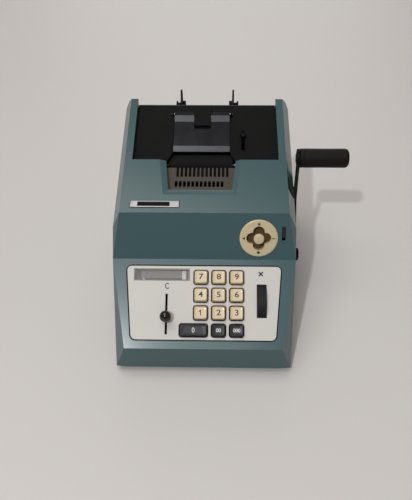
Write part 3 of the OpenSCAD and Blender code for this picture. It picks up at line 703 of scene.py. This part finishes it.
    def slab(self, outline: Iterable[Pair], low: float, high: float) -> list[bmesh.types.BMVert]:
        """Adds a slab with a drawn outline.

        Args:
            outline: Points of x and y.
            low: Height of the lower face.
            high: Height of the upper face.

        Returns:
            The upper face's vertices.
        """
        face = self.bm.faces.new([self.bm.verts.new((x, y, low)) for x, y in outline])
        made = bmesh.ops.extrude_face_region(self.bm, geom=[face])["geom"]
        verts = [item for item in made if isinstance(item, bmesh.types.BMVert)]
        bmesh.ops.translate(self.bm, verts=verts, vec=(0, 0, high - low))
        bmesh.ops.recalc_face_normals(self.bm, faces=self.bm.faces[:])
        return verts

    def open_sky(self, step: float) -> EdgePick:
        """Gives a test for edges that look out of the shape, not into its hollow.

        Args:
            step: How far off the edge the look starts.

        Returns:
            The test.
        """
        tree = BVHTree.FromBMesh(self.bm)

        def looks_out(edge: bmesh.types.BMEdge) -> bool:
            """Looks from the edge along the mean of its faces' normals."""
            middle = (edge.verts[0].co + edge.verts[1].co) / 2
            normal = sum((face.normal for face in edge.link_faces), Vector()).normalized()
            return tree.ray_cast(middle + step * normal, normal)[0] is None

        return looks_out

    def soften(
        self, width: float, segments: int = 3, sharper_than: float = 25.0, pick: Optional[EdgePick] = None
    ) -> None:
        """Rounds convex edges and marks them for the edge wear and painted highlight.

        Args:
            width: Width of the rounding, in the shape's own units.
            segments: Steps of the rounding.
            sharper_than: Least angle of an edge that is rounded, in degrees.
            pick: A further test of an edge.
        """
        self.bm.normal_update()
        least = math.radians(sharper_than)
        whole = [edge for edge in self.bm.edges if edge.is_manifold]
        edges = [edge for edge in whole if edge.calc_face_angle_signed(0) > least]
        if pick is not None:
            edges = [edge for edge in edges if pick(edge)]
        rounding = set(self.bevel(edges, width, segments))
        layer = self.bm.verts.layers.float[EDGE_LAYER]
        for face in rounding:
            for vert in face.verts:
                if rounding.issuperset(vert.link_faces):
                    vert[layer] = 1.0

    def repeat(self, places: Sequence[Matrix]) -> None:
        """Puts a copy of the whole shape at each of several places.

        Args:
            places: One matrix for each copy.
        """
        first = self.bm.verts[:]
        geometry = first + self.bm.edges[:] + self.bm.faces[:]
        for place in places[1:]:
            made = bmesh.ops.duplicate(self.bm, geom=geometry)["geom"]
            verts = [item for item in made if isinstance(item, bmesh.types.BMVert)]
            bmesh.ops.transform(self.bm, matrix=place, verts=verts)
        bmesh.ops.transform(self.bm, matrix=places[0], verts=first)

    def place(self, matrix: Matrix) -> None:
        """Moves the whole shape by a matrix."""
        bmesh.ops.transform(self.bm, matrix=matrix, verts=self.bm.verts[:])

    def to_mesh(self, name: str) -> bpy.types.Mesh:
        """Shades the shape smooth up to an angle and makes it a mesh.

        Args:
            name: The mesh's name.

        Returns:
            The mesh.
        """
        self.bm.normal_update()
        for face in self.bm.faces:
            face.smooth = True
        for edge in self.bm.edges:
            angle = edge.calc_face_angle_signed(0) if edge.is_manifold else math.pi
            edge.smooth = -FOLD_ANGLE < angle < SMOOTH_ANGLE
        mesh = bpy.data.meshes.new(name)
        self.bm.to_mesh(mesh)
        self.bm.free()
        return mesh


@dataclass
class Workshop:
    """What every sub-assembly uses: the layout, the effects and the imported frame."""

    layout: Layout
    effects: Effects
    frame: dict[str, Any]
    body_of: dict[str, str] = field(default_factory=dict)

    def __post_init__(self) -> None:
        """Notes which body each solid belongs to."""
        for body, nodes in self.frame["record"]["behaviour"]["bodies"].items():
            for node in nodes:
                self.body_of[node] = body

    def add(
        self, name: str, source: Shape | bpy.types.Mesh, finish: Finish, body: str,
        slot: Optional[str] = None, replaces: Sequence[str] = (), flat: bool = False,
    ) -> bpy.types.Object:
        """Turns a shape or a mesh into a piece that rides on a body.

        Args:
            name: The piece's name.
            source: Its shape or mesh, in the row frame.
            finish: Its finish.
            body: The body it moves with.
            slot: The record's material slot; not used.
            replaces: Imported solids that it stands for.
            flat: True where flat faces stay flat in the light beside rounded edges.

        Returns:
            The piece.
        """
        mesh = source.to_mesh(name) if isinstance(source, Shape) else source
        piece = bpy.data.objects.new(name, mesh)
        bpy.context.scene.collection.objects.link(piece)
        mesh.materials.append(finish.material(self.effects))
        if flat:
            normals = piece.modifiers.new("flat_faces", "WEIGHTED_NORMAL")
            normals.keep_sharp = True
        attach(piece, body)
        if replaces:
            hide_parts(*replaces)
        LOG.info("%s rides on %s, %d faces", name, body, len(mesh.polygons))
        return piece

    def soften_node(
        self, node: str, finish: Finish, slot: str, width: float, segments: int = 3,
        sharper_than: float = 25.0, outside: bool = False,
    ) -> bpy.types.Object:
        """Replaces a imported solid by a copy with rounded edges.

        Args:
            node: The solid.
            finish: Its finish.
            slot: The record's material slot.
            width: Width of the rounding in millimetres.
            segments: Steps of the rounding.
            sharper_than: Least angle of an edge that is rounded, in degrees.
            outside: True to round only edges that look out of the shape.

        Returns:
            The piece.
        """
        shape = Shape.of_node(node)
        pick = shape.open_sky(0.2 * MM) if outside else None
        shape.soften(width * MM, segments, sharper_than, pick)
        return self.add(node + "_soft", shape, finish, self.body_of[node], slot, [node], flat=True)

    def dress(self, finish: Finish, *nodes: str) -> None:
        """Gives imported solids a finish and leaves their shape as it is.

        Args:
            finish: The finish.
            *nodes: The solids.
        """
        for node in nodes:
            solid = self.frame["nodes"][node]
            material = finish.material(self.effects)
            if not solid.material_slots:
                solid.data.materials.append(material)
            for place in solid.material_slots:
                place.material = material
            LOG.info("%s keeps its solid, in %s", node, finish.name)

    def legend(
        self, name: str, text: str, size: float, matrix: Matrix, finish: Finish, body: str
    ) -> bpy.types.Object:
        """Prints a text as a thin inlay.

        Args:
            name: The piece's name.
            text: What it says.
            size: Letter size in millimetres.
            matrix: Its place.
            finish: Its ink.
            body: The body it moves with.

        Returns:
            The piece.
        """
        curve = bpy.data.curves.new(name + "_text", "FONT")
        curve.body = text
        curve.size = size
        curve.align_x = "CENTER"
        curve.align_y = "CENTER"
        curve.extrude = INK_MM
        curve.offset = INK_SPREAD_MM
        writing = bpy.data.objects.new(name + "_text", curve)
        bpy.context.scene.collection.objects.link(writing)
        bpy.context.view_layer.update()
        graph = bpy.context.evaluated_depsgraph_get()
        mesh = bpy.data.meshes.new_from_object(writing.evaluated_get(graph))
        bpy.data.objects.remove(writing)
        mesh.materials.clear()
        mesh.transform(matrix)
        mesh.name = name
        return self.add(name, mesh, finish, body)


# Sub-assemblies


@dataclass
class CaseShell:
    """Housing, pan, back panel and feet."""

    edge_round: float = 0.9
    foot_round: float = 0.6
    pan_round: float = 0.5
    screw_r: float = 2.8
    screw_h: float = 1.2
    screw_margin: float = 7.5
    screw_rows: Pair = (0.1, 0.72)
    slot_half_w: float = 0.35

    def build(self, shop: Workshop) -> None:
        """Builds and dresses the case."""
        shop.soften_node("housing", CASE_PAINT, "teal_paint", self.edge_round, 3, 14, outside=True)
        shop.soften_node("base_pan", BLACK_PAINT, "black_paint", self.pan_round, 2, outside=True)
        shop.soften_node("rubber_feet", RUBBER, "rubber", self.foot_round)
        shop.soften_node("back_panel", BACK_PAINT, "black_paint", self.pan_round, 2, 40)
        self._back_screws(shop)
        shop.dress(BLACK_PAINT, "arm_pad")
        shop.dress(STEEL, "case_screws", "frame_left", "frame_right", "cross_rods")
        shop.dress(BRASS, "shaft_bushings")

    def _back_screws(self, shop: Workshop) -> None:
        """Adds four slotted screw heads to the back panel."""
        low, high = (Vector(corner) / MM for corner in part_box("back_panel"))
        radius, height = self.screw_r, self.screw_h
        upright = Matrix.Rotation(-math.pi / 2, 4, "X")
        places = [
            Matrix.Translation((x, high.y, low.z + share * (high.z - low.z))) @ upright
            for x in (low.x + self.screw_margin, high.x - self.screw_margin)
            for share in self.screw_rows
        ]
        heads, slots = Shape(), Shape()
        dome = [(0, height), (radius * 0.55, height * 0.92), (radius * 0.9, height * 0.5), (radius, 0)]
        heads.lathe([*dome, (0, 0)], 32)
        reach, half_w = radius * 0.8, self.slot_half_w
        slots.box((-reach, -half_w, height * 0.5), (reach, half_w, height + INK_MM))
        for name, shape, finish in (("back_screws", heads, STEEL), ("back_screw_slots", slots, BLACK_PAINT)):
            shape.repeat(places)
            shape.place(Matrix.Scale(MM, 4))
            shop.add(name, shape, finish, "base")


class Legend(Enum):
    """What is printed on a key."""

    DIGIT = "digit"
    ZEROS = "zeros"


@dataclass
class Keyboard:
    """Plate, keys, the marks printed on the plate and the painted shade round keys and plate."""

    cap: float = 13.0
    cap_foot: Pair = (-2.0, 0.5)
    pitch: float = 17.4
    rise: float = 5.0
    first_x: float = -2.7
    top_row: float = 69.3
    side_slope: float = 1.1
    corner: float = 2.0
    rim: float = 0.5
    dish: float = 0.35
    black_trim: float = 1.4
    digit: float = 7.7
    digit_stretch: float = 1.2
    one_size: Point = (2.7, 0.45, 2.0)
    one_slope: float = 42.0
    lone_nought: Pair = (1.3, 2.4)
    nought: Pair = (1.2, 1.8)
    nought_stroke: float = 0.62
    nought_pitch: float = 2.3
    # The black frame under the gap round the plate: painted shade of that gap.
    seat_along: Pair = (6.9, 82.1)
    seat_half: Pair = (71.3, 77.5)
    seat_corner: float = 6.0
    seat_depth: float = -0.4
    seat_width: float = 3.4
    plate_along: Pair = (8.3, 80.7)
    plate_half: Pair = (70.0, 76.0)
    plate_corner: float = 5.0
    hole_gap: float = 0.7
    hole_line: float = 0.4
    stem: Pair = (3.0, 6.0)
    stem_top: float = -1.9
    stem_end: float = -22.2
    fork: Pair = (1.4, 4.3)
    clear_mark_at: Pair = (-35.8, 60.3)
    clear_mark_size: float = 6.6
    clear_mark_stretch: Pair = (0.95, 1.2)
    cross_at: Pair = (55.6, 73.1)
    cross_half: Pair = (2.9, 0.65)

    @property
    def wide(self) -> float:
        """Gives the width of the nought's double cap."""
        return 2 * self.cap + 0.5

    def build(self, shop: Workshop) -> None:
        """Builds and dresses the keyboard."""
        shop.soften_node("keyboard_plate", PLATE_PAINT, "pale_paint", 0.3, 2, 40, outside=True)
        shop.dress(DARK_STEEL, "key_guides")
        shop.dress(BRASS, "key_spring_comb")
        for number in range(1, 10):
            column = (number - 1) % 3
            row = 2 - (number - 1) // 3
            self._key(shop, f"key_{number}", column, row, self.cap, Legend.DIGIT, number)
        for column, width in enumerate((self.wide, self.cap, self.cap)):
            count = column + 1
            self._key(shop, "key_" + "0" * count, column, 3, width, Legend.ZEROS, count)
        self._hole_edges(shop)
        self._plate_seat(shop)
        self._plate_marks(shop)

    def _spot(self, column: int, row: int, width: float) -> Pair:
        """Finds the middle of a key.

        Args:
            column: Column from the left.
            row: Row from the top.
            width: Width of the cap.

        Returns:
            Its place across the panel and up the slope.
        """
        x = self.first_x + column * self.pitch + (self.cap - width) / 2
        return x, self.top_row - row * self.pitch

    def _key(
        self, shop: Workshop, node: str, column: int, row: int, width: float, kind: Legend, value: int
    ) -> None:
        """Builds one key cap with its stem and legend.

        Args:
            shop: The workshop.
            node: The solid it replaces.
            column: Column from the left.
            row: Row from the top.
            width: Width of the cap.
            kind: What is printed on it.
            value: The digit, or the number of noughts.
        """
        trim = self.black_trim if kind is Legend.ZEROS else 0
        x, along = self._spot(column, row, width)
        shape = Shape()
        bm = shape.bm
        half_x, half_y = width / 2, self.cap / 2
        foot, wall = self.cap_foot
        shape.box((-half_x, -half_y + trim, foot), (half_x, half_y, wall))
        top = max(bm.faces, key=lambda face: face.calc_center_median().z)
        bmesh.ops.inset_region(bm, faces=[top], thickness=self.side_slope, depth=self.rise - wall)
        bm.normal_update()
        corners = [edge for edge in bm.edges if abs(edge.verts[0].co.z - edge.verts[1].co.z) > 0.1]
        shape.bevel(corners, self.corner, 4)
        high = self.rise - 0.01
        shape.soften(self.rim, 3, 25, lambda edge: all(vert.co.z > high for vert in edge.verts))
        self._dish(bm, shape.top_face(), trim / 2)
        self._stem(shape)
        shape.place(shop.layout.on_panel(x, along))
        finish, slot = BLACK_PLASTIC, "black_plastic"
        if kind is Legend.DIGIT:
            finish, slot = CREAM_PLASTIC, "cream_plastic"
        shop.add(node + "_cap", shape, finish, node, slot, [node], flat=True)
        face = shop.layout.on_panel(x, along + trim / 2, self.rise - self.dish + INK_LIFT_MM)
        if kind is Legend.ZEROS:
            self._noughts(shop, node, value, face)
        elif value == 1:
            self._one(shop, node, face)
        else:
            stretch = Matrix.Diagonal((self.digit_stretch, 1, 1, 1))
            shop.legend(node + "_digit", str(value), self.digit, face @ stretch, BROWN_INK, node)

    def _stem(self, shape: Shape) -> None:
        """Adds a flat stem with a forked foot that clears its leaf spring.

        Args:
            shape: The key in the making.
        """
        half_x, half_y = self.stem[0] / 2, self.stem[1] / 2
        gap = self.fork[0] / 2
        crotch = self.stem_end + self.fork[1]
        shape.box((-half_x, -half_y, crotch), (half_x, half_y, self.stem_top))
        for left, right in ((-half_x, -gap), (gap, half_x)):
            shape.box((left, -half_y, self.stem_end), (right, half_y, crotch + 0.1))

    def _dish(self, bm: bmesh.types.BMesh, top: bmesh.types.BMFace, middle: float) -> None:
        """Hollows the top of a cap in two soft steps.

        Args:
            bm: The cap's mesh.
            top: Its top face.
            middle: The top's middle up the slope.
        """
        about = Matrix.Translation((0, -middle, 0))
        for shrink, share in ((0.86, 0.65), (0.78, 0.35)):
            bmesh.ops.inset_region(bm, faces=[top], thickness=0.02, depth=0)
            bmesh.ops.scale(bm, vec=(shrink, shrink, 1), space=about, verts=top.verts[:])
            bmesh.ops.translate(bm, vec=(0, 0, -self.dish * share), verts=top.verts[:])

    def _one(self, shop: Workshop, node: str, face: Matrix) -> None:
        """Prints a one with a short flag.

        Args:
            shop: The workshop.
            node: The key.
            face: Place of the key's top.
        """
        half_h, half_w, flag = self.one_size
        shape = Shape()
        shape.box((-half_w, -half_h, -INK_MM), (half_w, half_h, INK_MM))
        verts = shape.box((-flag, -half_w, -INK_MM), (0, half_w, INK_MM))
        shape.turn(verts, self.one_slope)
        bmesh.ops.translate(shape.bm, verts=verts, vec=(0, half_h - half_w, 0.01))
        shape.place(face)
        shop.add(node + "_digit", shape, BROWN_INK, node)

    def _noughts(self, shop: Workshop, node: str, count: int, face: Matrix) -> None:
        """Prints the noughts of a black key as small oval rings.

        Args:
            shop: The workshop.
            node: The key.
            count: How many noughts.
            face: Place of the key's top.
        """
        half_x, half_y = self.lone_nought if count == 1 else self.nought
        stroke = self.nought_stroke
        shape = Shape()
        for i in range(count):
            x = (i - (count - 1) / 2) * self.nought_pitch
            shape.ring((half_x, half_y, x), (half_x - stroke, half_y - stroke, x), MARK_MM)
        shape.place(face)
        shop.add(node + "_noughts", shape, WHITE_INK, node)

    def _hole_edges(self, shop: Workshop) -> None:
        """Draws a thin dark line round each key hole: painted shade of the gap between cap and hole."""
        cut = self.black_trim
        holes = [(column, row, self.cap, 0.0) for column in range(3) for row in range(3)]
        holes += [(0, 3, self.wide, cut), (1, 3, self.cap, cut), (2, 3, self.cap, cut)]
        edges = Shape()
        for column, row, width, trim in holes:
            x, along = self._spot(column, row, width)
            along += trim / 2
            half_x = width / 2 + self.hole_gap + self.hole_line
            half_y = (self.cap - trim) / 2 + self.hole_gap + self.hole_line
            outline = trapezoid((along - half_y, along + half_y), (half_x, half_x), x)
            edges.frame(outline, self.corner + 0.5, self.hole_line)
        edges.place(shop.layout.on_panel(0, 0, INK_LIFT_MM))
        shop.add("key_hole_painted_shade", edges, GAP_SHADE_INK, "base")

    def _plate_seat(self, shop: Workshop) -> None:
        """Closes the gap round the plate with a black frame and draws a dark line at the plate's edge, both
        painted shade of that gap.
        """
        gap_shade = Shape()
        gap_shade.frame(trapezoid(self.seat_along, self.seat_half), self.seat_corner, self.seat_width, 0.6)
        gap_shade.place(shop.layout.on_panel(0, 0, self.seat_depth))
        shop.add("plate_gap_shade", gap_shade, BLACK_PAINT, "base")
        line = Shape()
        line.frame(trapezoid(self.plate_along, self.plate_half), self.plate_corner, self.hole_line)
        line.place(shop.layout.on_panel(0, 0, INK_LIFT_MM))
        shop.add("plate_edge_painted_shade", line, GAP_SHADE_INK, "base")

    def _plate_marks(self, shop: Workshop) -> None:
        """Prints the clear letter and the multiply sign on the plate."""
        stretch = Matrix.Diagonal((*self.clear_mark_stretch, 1, 1))
        place = shop.layout.on_panel(*self.clear_mark_at, INK_LIFT_MM) @ stretch
        shop.legend("clear_mark", "C", self.clear_mark_size, place, BLACK_INK, "base")
        half_x, half_y = self.cross_half
        cross = Shape()
        for angle in (45, -45):
            cross.turn(cross.box((-half_x, -half_y, 0), (half_x, half_y, MARK_MM)), angle)
        cross.place(shop.layout.on_panel(*self.cross_at, 0))
        shop.add("multiply_mark", cross, BLACK_INK, "base")


@dataclass
class EntryWindow:
    """Tray, clear lens, white pointer and the sloping ends of the tray."""

    x: float = -41.1
    along: float = 71.8
    size: Pair = (54.6, 11.8)
    wall: float = 1.0
    floor: float = -6.7
    end_top: float = -2.0
    end_tip: float = 0.4
    left_end: float = 5.0
    right_end: float = 2.4

    def build(self, shop: Workshop) -> None:
        """Builds and dresses the entry window."""
        shop.dress(TRAY_METAL, "window_tray")
        shop.dress(LENS, "window_lens")
        shop.dress(WHITE_PLASTIC, "column_pointer")
        shop.dress(STEEL, "pin_carriage")
        inner_x, inner_y = (length / 2 - self.wall for length in self.size)
        ends = Shape()
        for side, reach in ((-1, self.left_end), (1, self.right_end)):
            low, high = sorted((side * inner_x, side * (inner_x - reach)))
            verts = ends.box((low, -inner_y, self.floor), (high, inner_y, self.end_top))
            tip = [v for v in verts if v.co.z > self.end_top - 1 and abs(v.co.x) < inner_x - 0.1]
            bmesh.ops.translate(ends.bm, verts=tip, vec=(side * (reach - self.end_tip), 0, 0))
        ends.place(shop.layout.on_panel(self.x, self.along))
        shop.add("window_ends", ends, TRAY_METAL, "base", "steel", flat=True)


@dataclass
class Controls:
    """Clear lever, repeat wheel, four-way selector and print slider."""

    ball_d: float = 11.3
    ball_lift: float = 2.8
    clear_x: float = -36.0
    clear_along: float = 30.3
    selector_x: float = 53.0
    selector_along: float = 22.3
    selector_h: float = 2.0
    button_r: float = 5.2
    button_gap: float = 0.4
    button_h: float = 3.6
    button_edge: float = 1.8
    stalk_r: float = 2.0
    stalk_low: float = -4.4
    disc_r: float = 15.0
    disc_levels: Pair = (-5.4, -4.45)
    foot_r: float = 4.0
    foot_levels: Pair = (-11.0, -9.3)
    mark_r: float = 14.3
    mark_size: float = 1.8
    star_half_w: float = 0.3
    bar_half_w: float = 0.35

    def build(self, shop: Workshop) -> None:
        """Builds and dresses the controls."""
        self._clear_knob(shop)
        shop.dress(DARK_STEEL, "clear_slider", "selector_slide")
        shop.soften_node("repeat_wheel", WHEEL_PAINTED_HIGHLIGHT, "black_plastic", 0.5)
        shop.soften_node("print_slider", BLACK_PLASTIC, "black_plastic", 0.4)
        shop.soften_node("selector_bezel", SELECTOR_PLASTIC, "cream_plastic", 0.35, 3, 30)
        self._selector_knob(shop)
        self._selector_marks(shop)

    def _clear_knob(self, shop: Workshop) -> None:
        """Turns the ball of the clear lever, flat at its foot."""
        shape = Shape()
        radius = self.ball_d / 2
        angles = [math.radians(a) for a in range(-72, 91, 6)]
        ball = [(radius * math.cos(a), radius * math.sin(a)) for a in angles]
        shape.lathe([(0, ball[0][1]), *ball[:-1], (0, radius)])
        shape.place(shop.layout.on_panel(self.clear_x, self.clear_along, radius + self.ball_lift))
        shop.add("clear_ball", shape, KNOB_PLASTIC, "clear", "black_plastic", ["clear_knob"], flat=True)

    def _selector_knob(self, shop: Workshop) -> None:
        """Turns the domed button and the disc that closes the clover below it, dark brown as painted shade in
        the clover's hollow.
        """
        base = self.selector_h + self.button_gap
        r, top = self.button_r, base + self.button_h
        stalk, low = self.stalk_r, self.stalk_low
        shoulder = quarter_round(r, top - 0.5, self.button_edge)
        place = shop.layout.on_band(self.selector_x, self.selector_along)
        button = Shape()
        rise = [(0, low), (stalk, low), (stalk, base), (r - 0.6, base), (r, base + 0.6)]
        button.lathe([*rise, *shoulder, (0, top)])
        button.place(place)
        shop.add(
            "selector_button", button, SELECTOR_PLASTIC, "selector_knob", "cream_plastic", ["selector_knob"],
            flat=True,
        )
        (low, high), (under, over) = self.foot_levels, self.disc_levels
        foot = [(0, low), (self.foot_r, low), (self.foot_r, high), (stalk, high), (stalk, under)]
        disc = Shape()
        disc.lathe([*foot, (self.disc_r, under), (self.disc_r, over), (0, over)])
        disc.place(place)
        shop.add("selector_disc_painted_shade", disc, DISC_PAINTED_SHADE, "selector_knob", "black_plastic", flat=True)

    def _selector_marks(self, shop: Workshop) -> None:
        """Prints the star, bar, diamond and triangle round the selector."""
        marks = Shape()
        thick, size = MARK_MM, self.mark_size
        for angle in (0, 60, 120):
            verts = marks.box((-size, -self.star_half_w, 0), (size, self.star_half_w, thick))
            marks.turn(verts, angle)
            bmesh.ops.translate(marks.bm, verts=verts, vec=(0, self.mark_r, 0))
        half_w = self.bar_half_w
        marks.box((self.mark_r - size, -half_w, 0), (self.mark_r + size, half_w, thick))
        for sides, turn, x, y in ((4, 0, 0, -self.mark_r), (3, 90, -self.mark_r, 0)):
            place = Matrix.Translation((x, y, thick / 2)) @ Matrix.Rotation(math.radians(turn), 4, "Z")
            bmesh.ops.create_cone(
                marks.bm, cap_ends=True, segments=sides, radius1=size, radius2=size, depth=thick, matrix=place
            )
        marks.place(shop.layout.on_band(self.selector_x, self.selector_along, self.selector_h))
        shop.add("selector_marks", marks, BLACK_INK, "base")


@dataclass
class PrintingTop:
    """Name plate, cover, tear lid, comb and the printing works below."""

    plate_low: Pair = (-71.6, 5.9)
    plate_high: Pair = (-24.5, 13.3)
    plate_h: float = 0.8
    plate_round: float = 0.25
    rim_width: float = 0.5
    rim_slope: float = 0.15
    rim_step: float = 0.2
    field_x: Pair = (-65.0, -33.5)
    field_margin: float = 1.2
    # How far and how high the black frame under the name plate reaches: painted shade round its edge.
    seat_gap: float = 0.45
    seat_h: float = 0.3
    tab_x: Pair = (-13.2, 5.1)
    tab_low: float = -2.8

    def build(self, shop: Workshop) -> None:
        """Builds and dresses the printing top."""
        self._name_plate(shop)
        shop.soften_node("mechanism_cover", BLACK_PAINT, "black_paint", 0.4, 2, outside=True)
        self._lid(shop)
        shop.dress(STEEL, "lid_pin", "totalizer", "platen_shaft")
        shop.dress(DARK_STEEL, "paper_guide", "ribbon_deck")
        shop.dress(COMB_PAINT, "comb_plate")
        shop.dress(BAR_METAL, "type_bars")
        shop.dress(RUBBER, "platen_roller", "feed_roller")
        shop.dress(BLACK_PLASTIC, "ribbon_spool_left", "ribbon_spool_right")
        shop.soften_node("release_knob", BLACK_PAINT, "black_plastic", 0.3)

    def _lid(self, shop: Workshop) -> None:
        """Rounds the lid's edges and paints its thumb tab black."""
        lid = shop.soften_node("tear_lid", LID_PAINT, "slate_paint", 0.4, 3, 15)
        lid.data.materials.append(BLACK_PAINT.material(shop.effects))
        to_deck = shop.layout.on_deck().inverted()
        left, right = self.tab_x
        for face in lid.data.polygons:
            corners = [to_deck @ lid.data.vertices[i].co for i in face.vertices]
            on_tab = all(left < corner.x < right and corner.z > self.tab_low for corner in corners)
            face.material_index = int(on_tab)

    def _name_plate(self, shop: Workshop) -> None:
        """Builds the bare plate with its raised rim, and a black frame under its edge as painted shade of the
        gap round it.
        """
        low, high, deck = self.plate_low, self.plate_high, shop.layout.on_deck()
        plate, panel, gap_shade = Shape(), Shape(), Shape()
        plate.box((*low, MARK_MM), (*high, self.plate_h))
        plate.soften(self.plate_round, 2)
        top = plate.top_face()
        bmesh.ops.inset_region(plate.bm, faces=[top], thickness=self.rim_width, depth=0)
        bmesh.ops.inset_region(plate.bm, faces=[top], thickness=self.rim_slope, depth=-self.rim_step)
        (left, right), margin, gap = self.field_x, self.field_margin, self.seat_gap
        panel.box((left, low[1] + margin, 0.5), (right, high[1] - margin, self.plate_h - 0.15))
        gap_shade.box((low[0] - gap, low[1] - gap, 0), (high[0] + gap, high[1] + gap, self.seat_h))
        for shape in (plate, panel, gap_shade):
            shape.place(deck)
        shop.add("name_plate_bare", plate, PLATE_METAL, "base", "plate_aluminium", ["name_plate"], flat=True)
        shop.add("name_plate_field", panel, BLACK_PAINT, "base")
        shop.add("name_plate_gap_shade", gap_shade, BLACK_PAINT, "base")


@dataclass
class Crank:
    """Arm, hub cap, grip and the drive behind them."""

    hub: Pair = (102.0, 65.0)
    arm_len: float = 99.0
    arm_angle: float = 51.8
    arm_face: float = 93.7
    cap_r: float = 6.4
    cap_h: float = 3.4
    grip_x: float = 96.7
    grip_len: float = 50.0
    grip_d: float = 19.6
    grip_end: float = 4.2
    grip_bore: float = 4.05

    def build(self, shop: Workshop) -> None:
        """Builds and dresses the crank."""
        shop.soften_node("crank_arm", BLACK_PAINT, "black_paint", 0.5, 3, 40)
        shop.dress(STEEL, "main_shaft", "crank_return_spring")
        shop.dress(DARK_STEEL, "grip_spindle")
        shop.dress(BRASS, "drive_gear", "cam_gear")
        self._hub_cap(shop)
        self._grip(shop)

    def _hub_cap(self, shop: Workshop) -> None:
        """Turns the domed cap on the hub."""
        shape = Shape()
        r, h = self.cap_r, self.cap_h
        dome = [(r, h - 1.2), (r - 0.4, h - 0.5), (r - 1.4, h - 0.1), (2.0, h)]
        shape.lathe([(0, 0), (r, 0), *dome, (1.6, h - 0.5), (0, h - 0.5)])
        shape.place(shop.layout.across(*self.hub, self.arm_face))
        shop.add("hub_cap_turned", shape, BLACK_PAINT, "crank", "black_paint", ["hub_cap"], flat=True)

    def _grip(self, shop: Workshop) -> None:
        """Turns the grip with a rounded end and a shallow groove near the arm."""
        angle = math.radians(self.arm_angle)
        y = self.hub[0] + self.arm_len * math.cos(angle)
        z = self.hub[1] + self.arm_len * math.sin(angle)
        r, length, bore = self.grip_d / 2, self.grip_len, self.grip_bore
        rounded = quarter_round(r, length, self.grip_end)
        profile = [
            (bore, 3), (bore, 0), (r - 1.0, 0), (r - 0.3, 0.3), (r, 1.0), (r, 2.6), (r - 0.35, 3.0),
            (r - 0.35, 3.6), (r, 4.0), (r - 0.12, length * 0.5), *rounded, (3.0, length), (2.4, length - 0.5),
            (0, length - 0.5),
        ]
        shape = Shape()
        shape.lathe(profile, 72)
        shape.place(shop.layout.across(y, z, self.grip_x))
        shop.add("grip_turned", shape, GRIP_PLASTIC, "grip", "black_plastic", ["crank_grip"], flat=True)


@dataclass
class PaperArms:
    """The two arms at the rear that carry a paper roll."""

    edge_round: float = 0.4

    def build(self, shop: Workshop) -> None:
        """Builds and dresses the arms."""
        shop.soften_node("paper_bracket", BLACK_PAINT, "black_paint", self.edge_round, 2)


@dataclass(frozen=True)
class Lamp:
    """A square lamp that looks at the machine, with its direction, distance in metres, watts and side."""

    name: str
    aim: Point
    distance: float
    power: float
    size: float
    colour: Colour = (1.0, 1.0, 1.0)

    def hang(self) -> None:
        """Hangs the lamp."""
        lamp = bpy.data.lights.new(self.name, "AREA")
        lamp.energy = self.power
        lamp.size = self.size
        lamp.color = self.colour
        holder = bpy.data.objects.new(self.name, lamp)
        bpy.context.scene.collection.objects.link(holder)
        direction = Vector(self.aim).normalized()
        holder.location = direction * self.distance
        holder.rotation_mode = "QUATERNION"
        holder.rotation_quaternion = direction.to_track_quat("Z", "Y")


@dataclass
class Studio:
    """Table, lamps and the camera of the photograph."""

    camera_at: Point = (-0.01395, -0.49883, 0.4951)
    forward: Point = (-0.02132, 0.7313, -0.6817)
    right: Point = (0.99982, 0.02105, -0.00868)
    lens: float = 43.2
    lamps: tuple[Lamp, ...] = (
        Lamp("key_lamp", (-0.25, -0.6, 0.76), 3.2, 34.0, 0.1, (0.93, 0.97, 1.0)),
        Lamp("ceiling", (-0.22, 0.06, 0.97), 3.6, 48.0, 2.2, (1.0, 0.96, 0.91)),
        Lamp("front_panel", (-0.1, -0.58, 0.81), 1.7, 3.0, 0.6),
        Lamp("wall", (0.0, 0.9, 0.44), 2.2, 8.0, 1.4),
    )
    sky: float = 0.2
    sky_colour: Colour = (1.0, 0.96, 0.92)

    def build(self, shop: Workshop) -> None:
        """Sets table, lamps and camera."""
        scene = bpy.context.scene
        scene.view_settings.view_transform = "Standard"
        self._table(shop)
        self._light()
        camera = bpy.data.cameras.new("photo_camera")
        camera.lens = self.lens
        camera.sensor_width = 36.0
        camera.clip_start = 0.01
        holder = bpy.data.objects.new("photo_camera", camera)
        scene.collection.objects.link(holder)
        forward = Vector(self.forward).normalized()
        right = Vector(self.right).normalized()
        up = right.cross(forward)
        turn = Matrix((right, up, -forward)).transposed().to_4x4()
        holder.matrix_world = Matrix.Translation(self.camera_at) @ turn
        scene.camera = holder

    def _table(self, shop: Workshop) -> None:
        """Lays the pale table under the machine."""
        shape = Shape()
        bmesh.ops.create_grid(shape.bm, x_segments=2, y_segments=2, size=4.0)
        table = bpy.data.objects.new("table", shape.to_mesh("table"))
        bpy.context.scene.collection.objects.link(table)
        table.data.materials.append(TABLE.material(shop.effects))

    def _light(self) -> None:
        """Hangs a lamp at the front left, broad ones overhead, in front and behind, and lights the room."""
        for lamp in self.lamps:
            lamp.hang()
        world = bpy.data.worlds.new("room")
        world.use_nodes = True
        background = world.node_tree.nodes["Background"]
        background.inputs["Color"].default_value = (*self.sky_colour, 1)
        background.inputs["Strength"].default_value = self.sky
        bpy.context.scene.world = world


def main() -> None:
    """Loads the frame and builds each sub-assembly."""
    logging.basicConfig(level=logging.INFO, format="%(message)s")
    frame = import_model()
    shop = Workshop(Layout(), Effects(), frame)
    for part in (CaseShell, Keyboard, EntryWindow, Controls, PrintingTop, Crank, PaperArms, Studio):
        LOG.info("building %s", part.__name__)
        part().build(shop)
    bpy.context.view_layer.update()


if __name__ == "__main__":
    main()
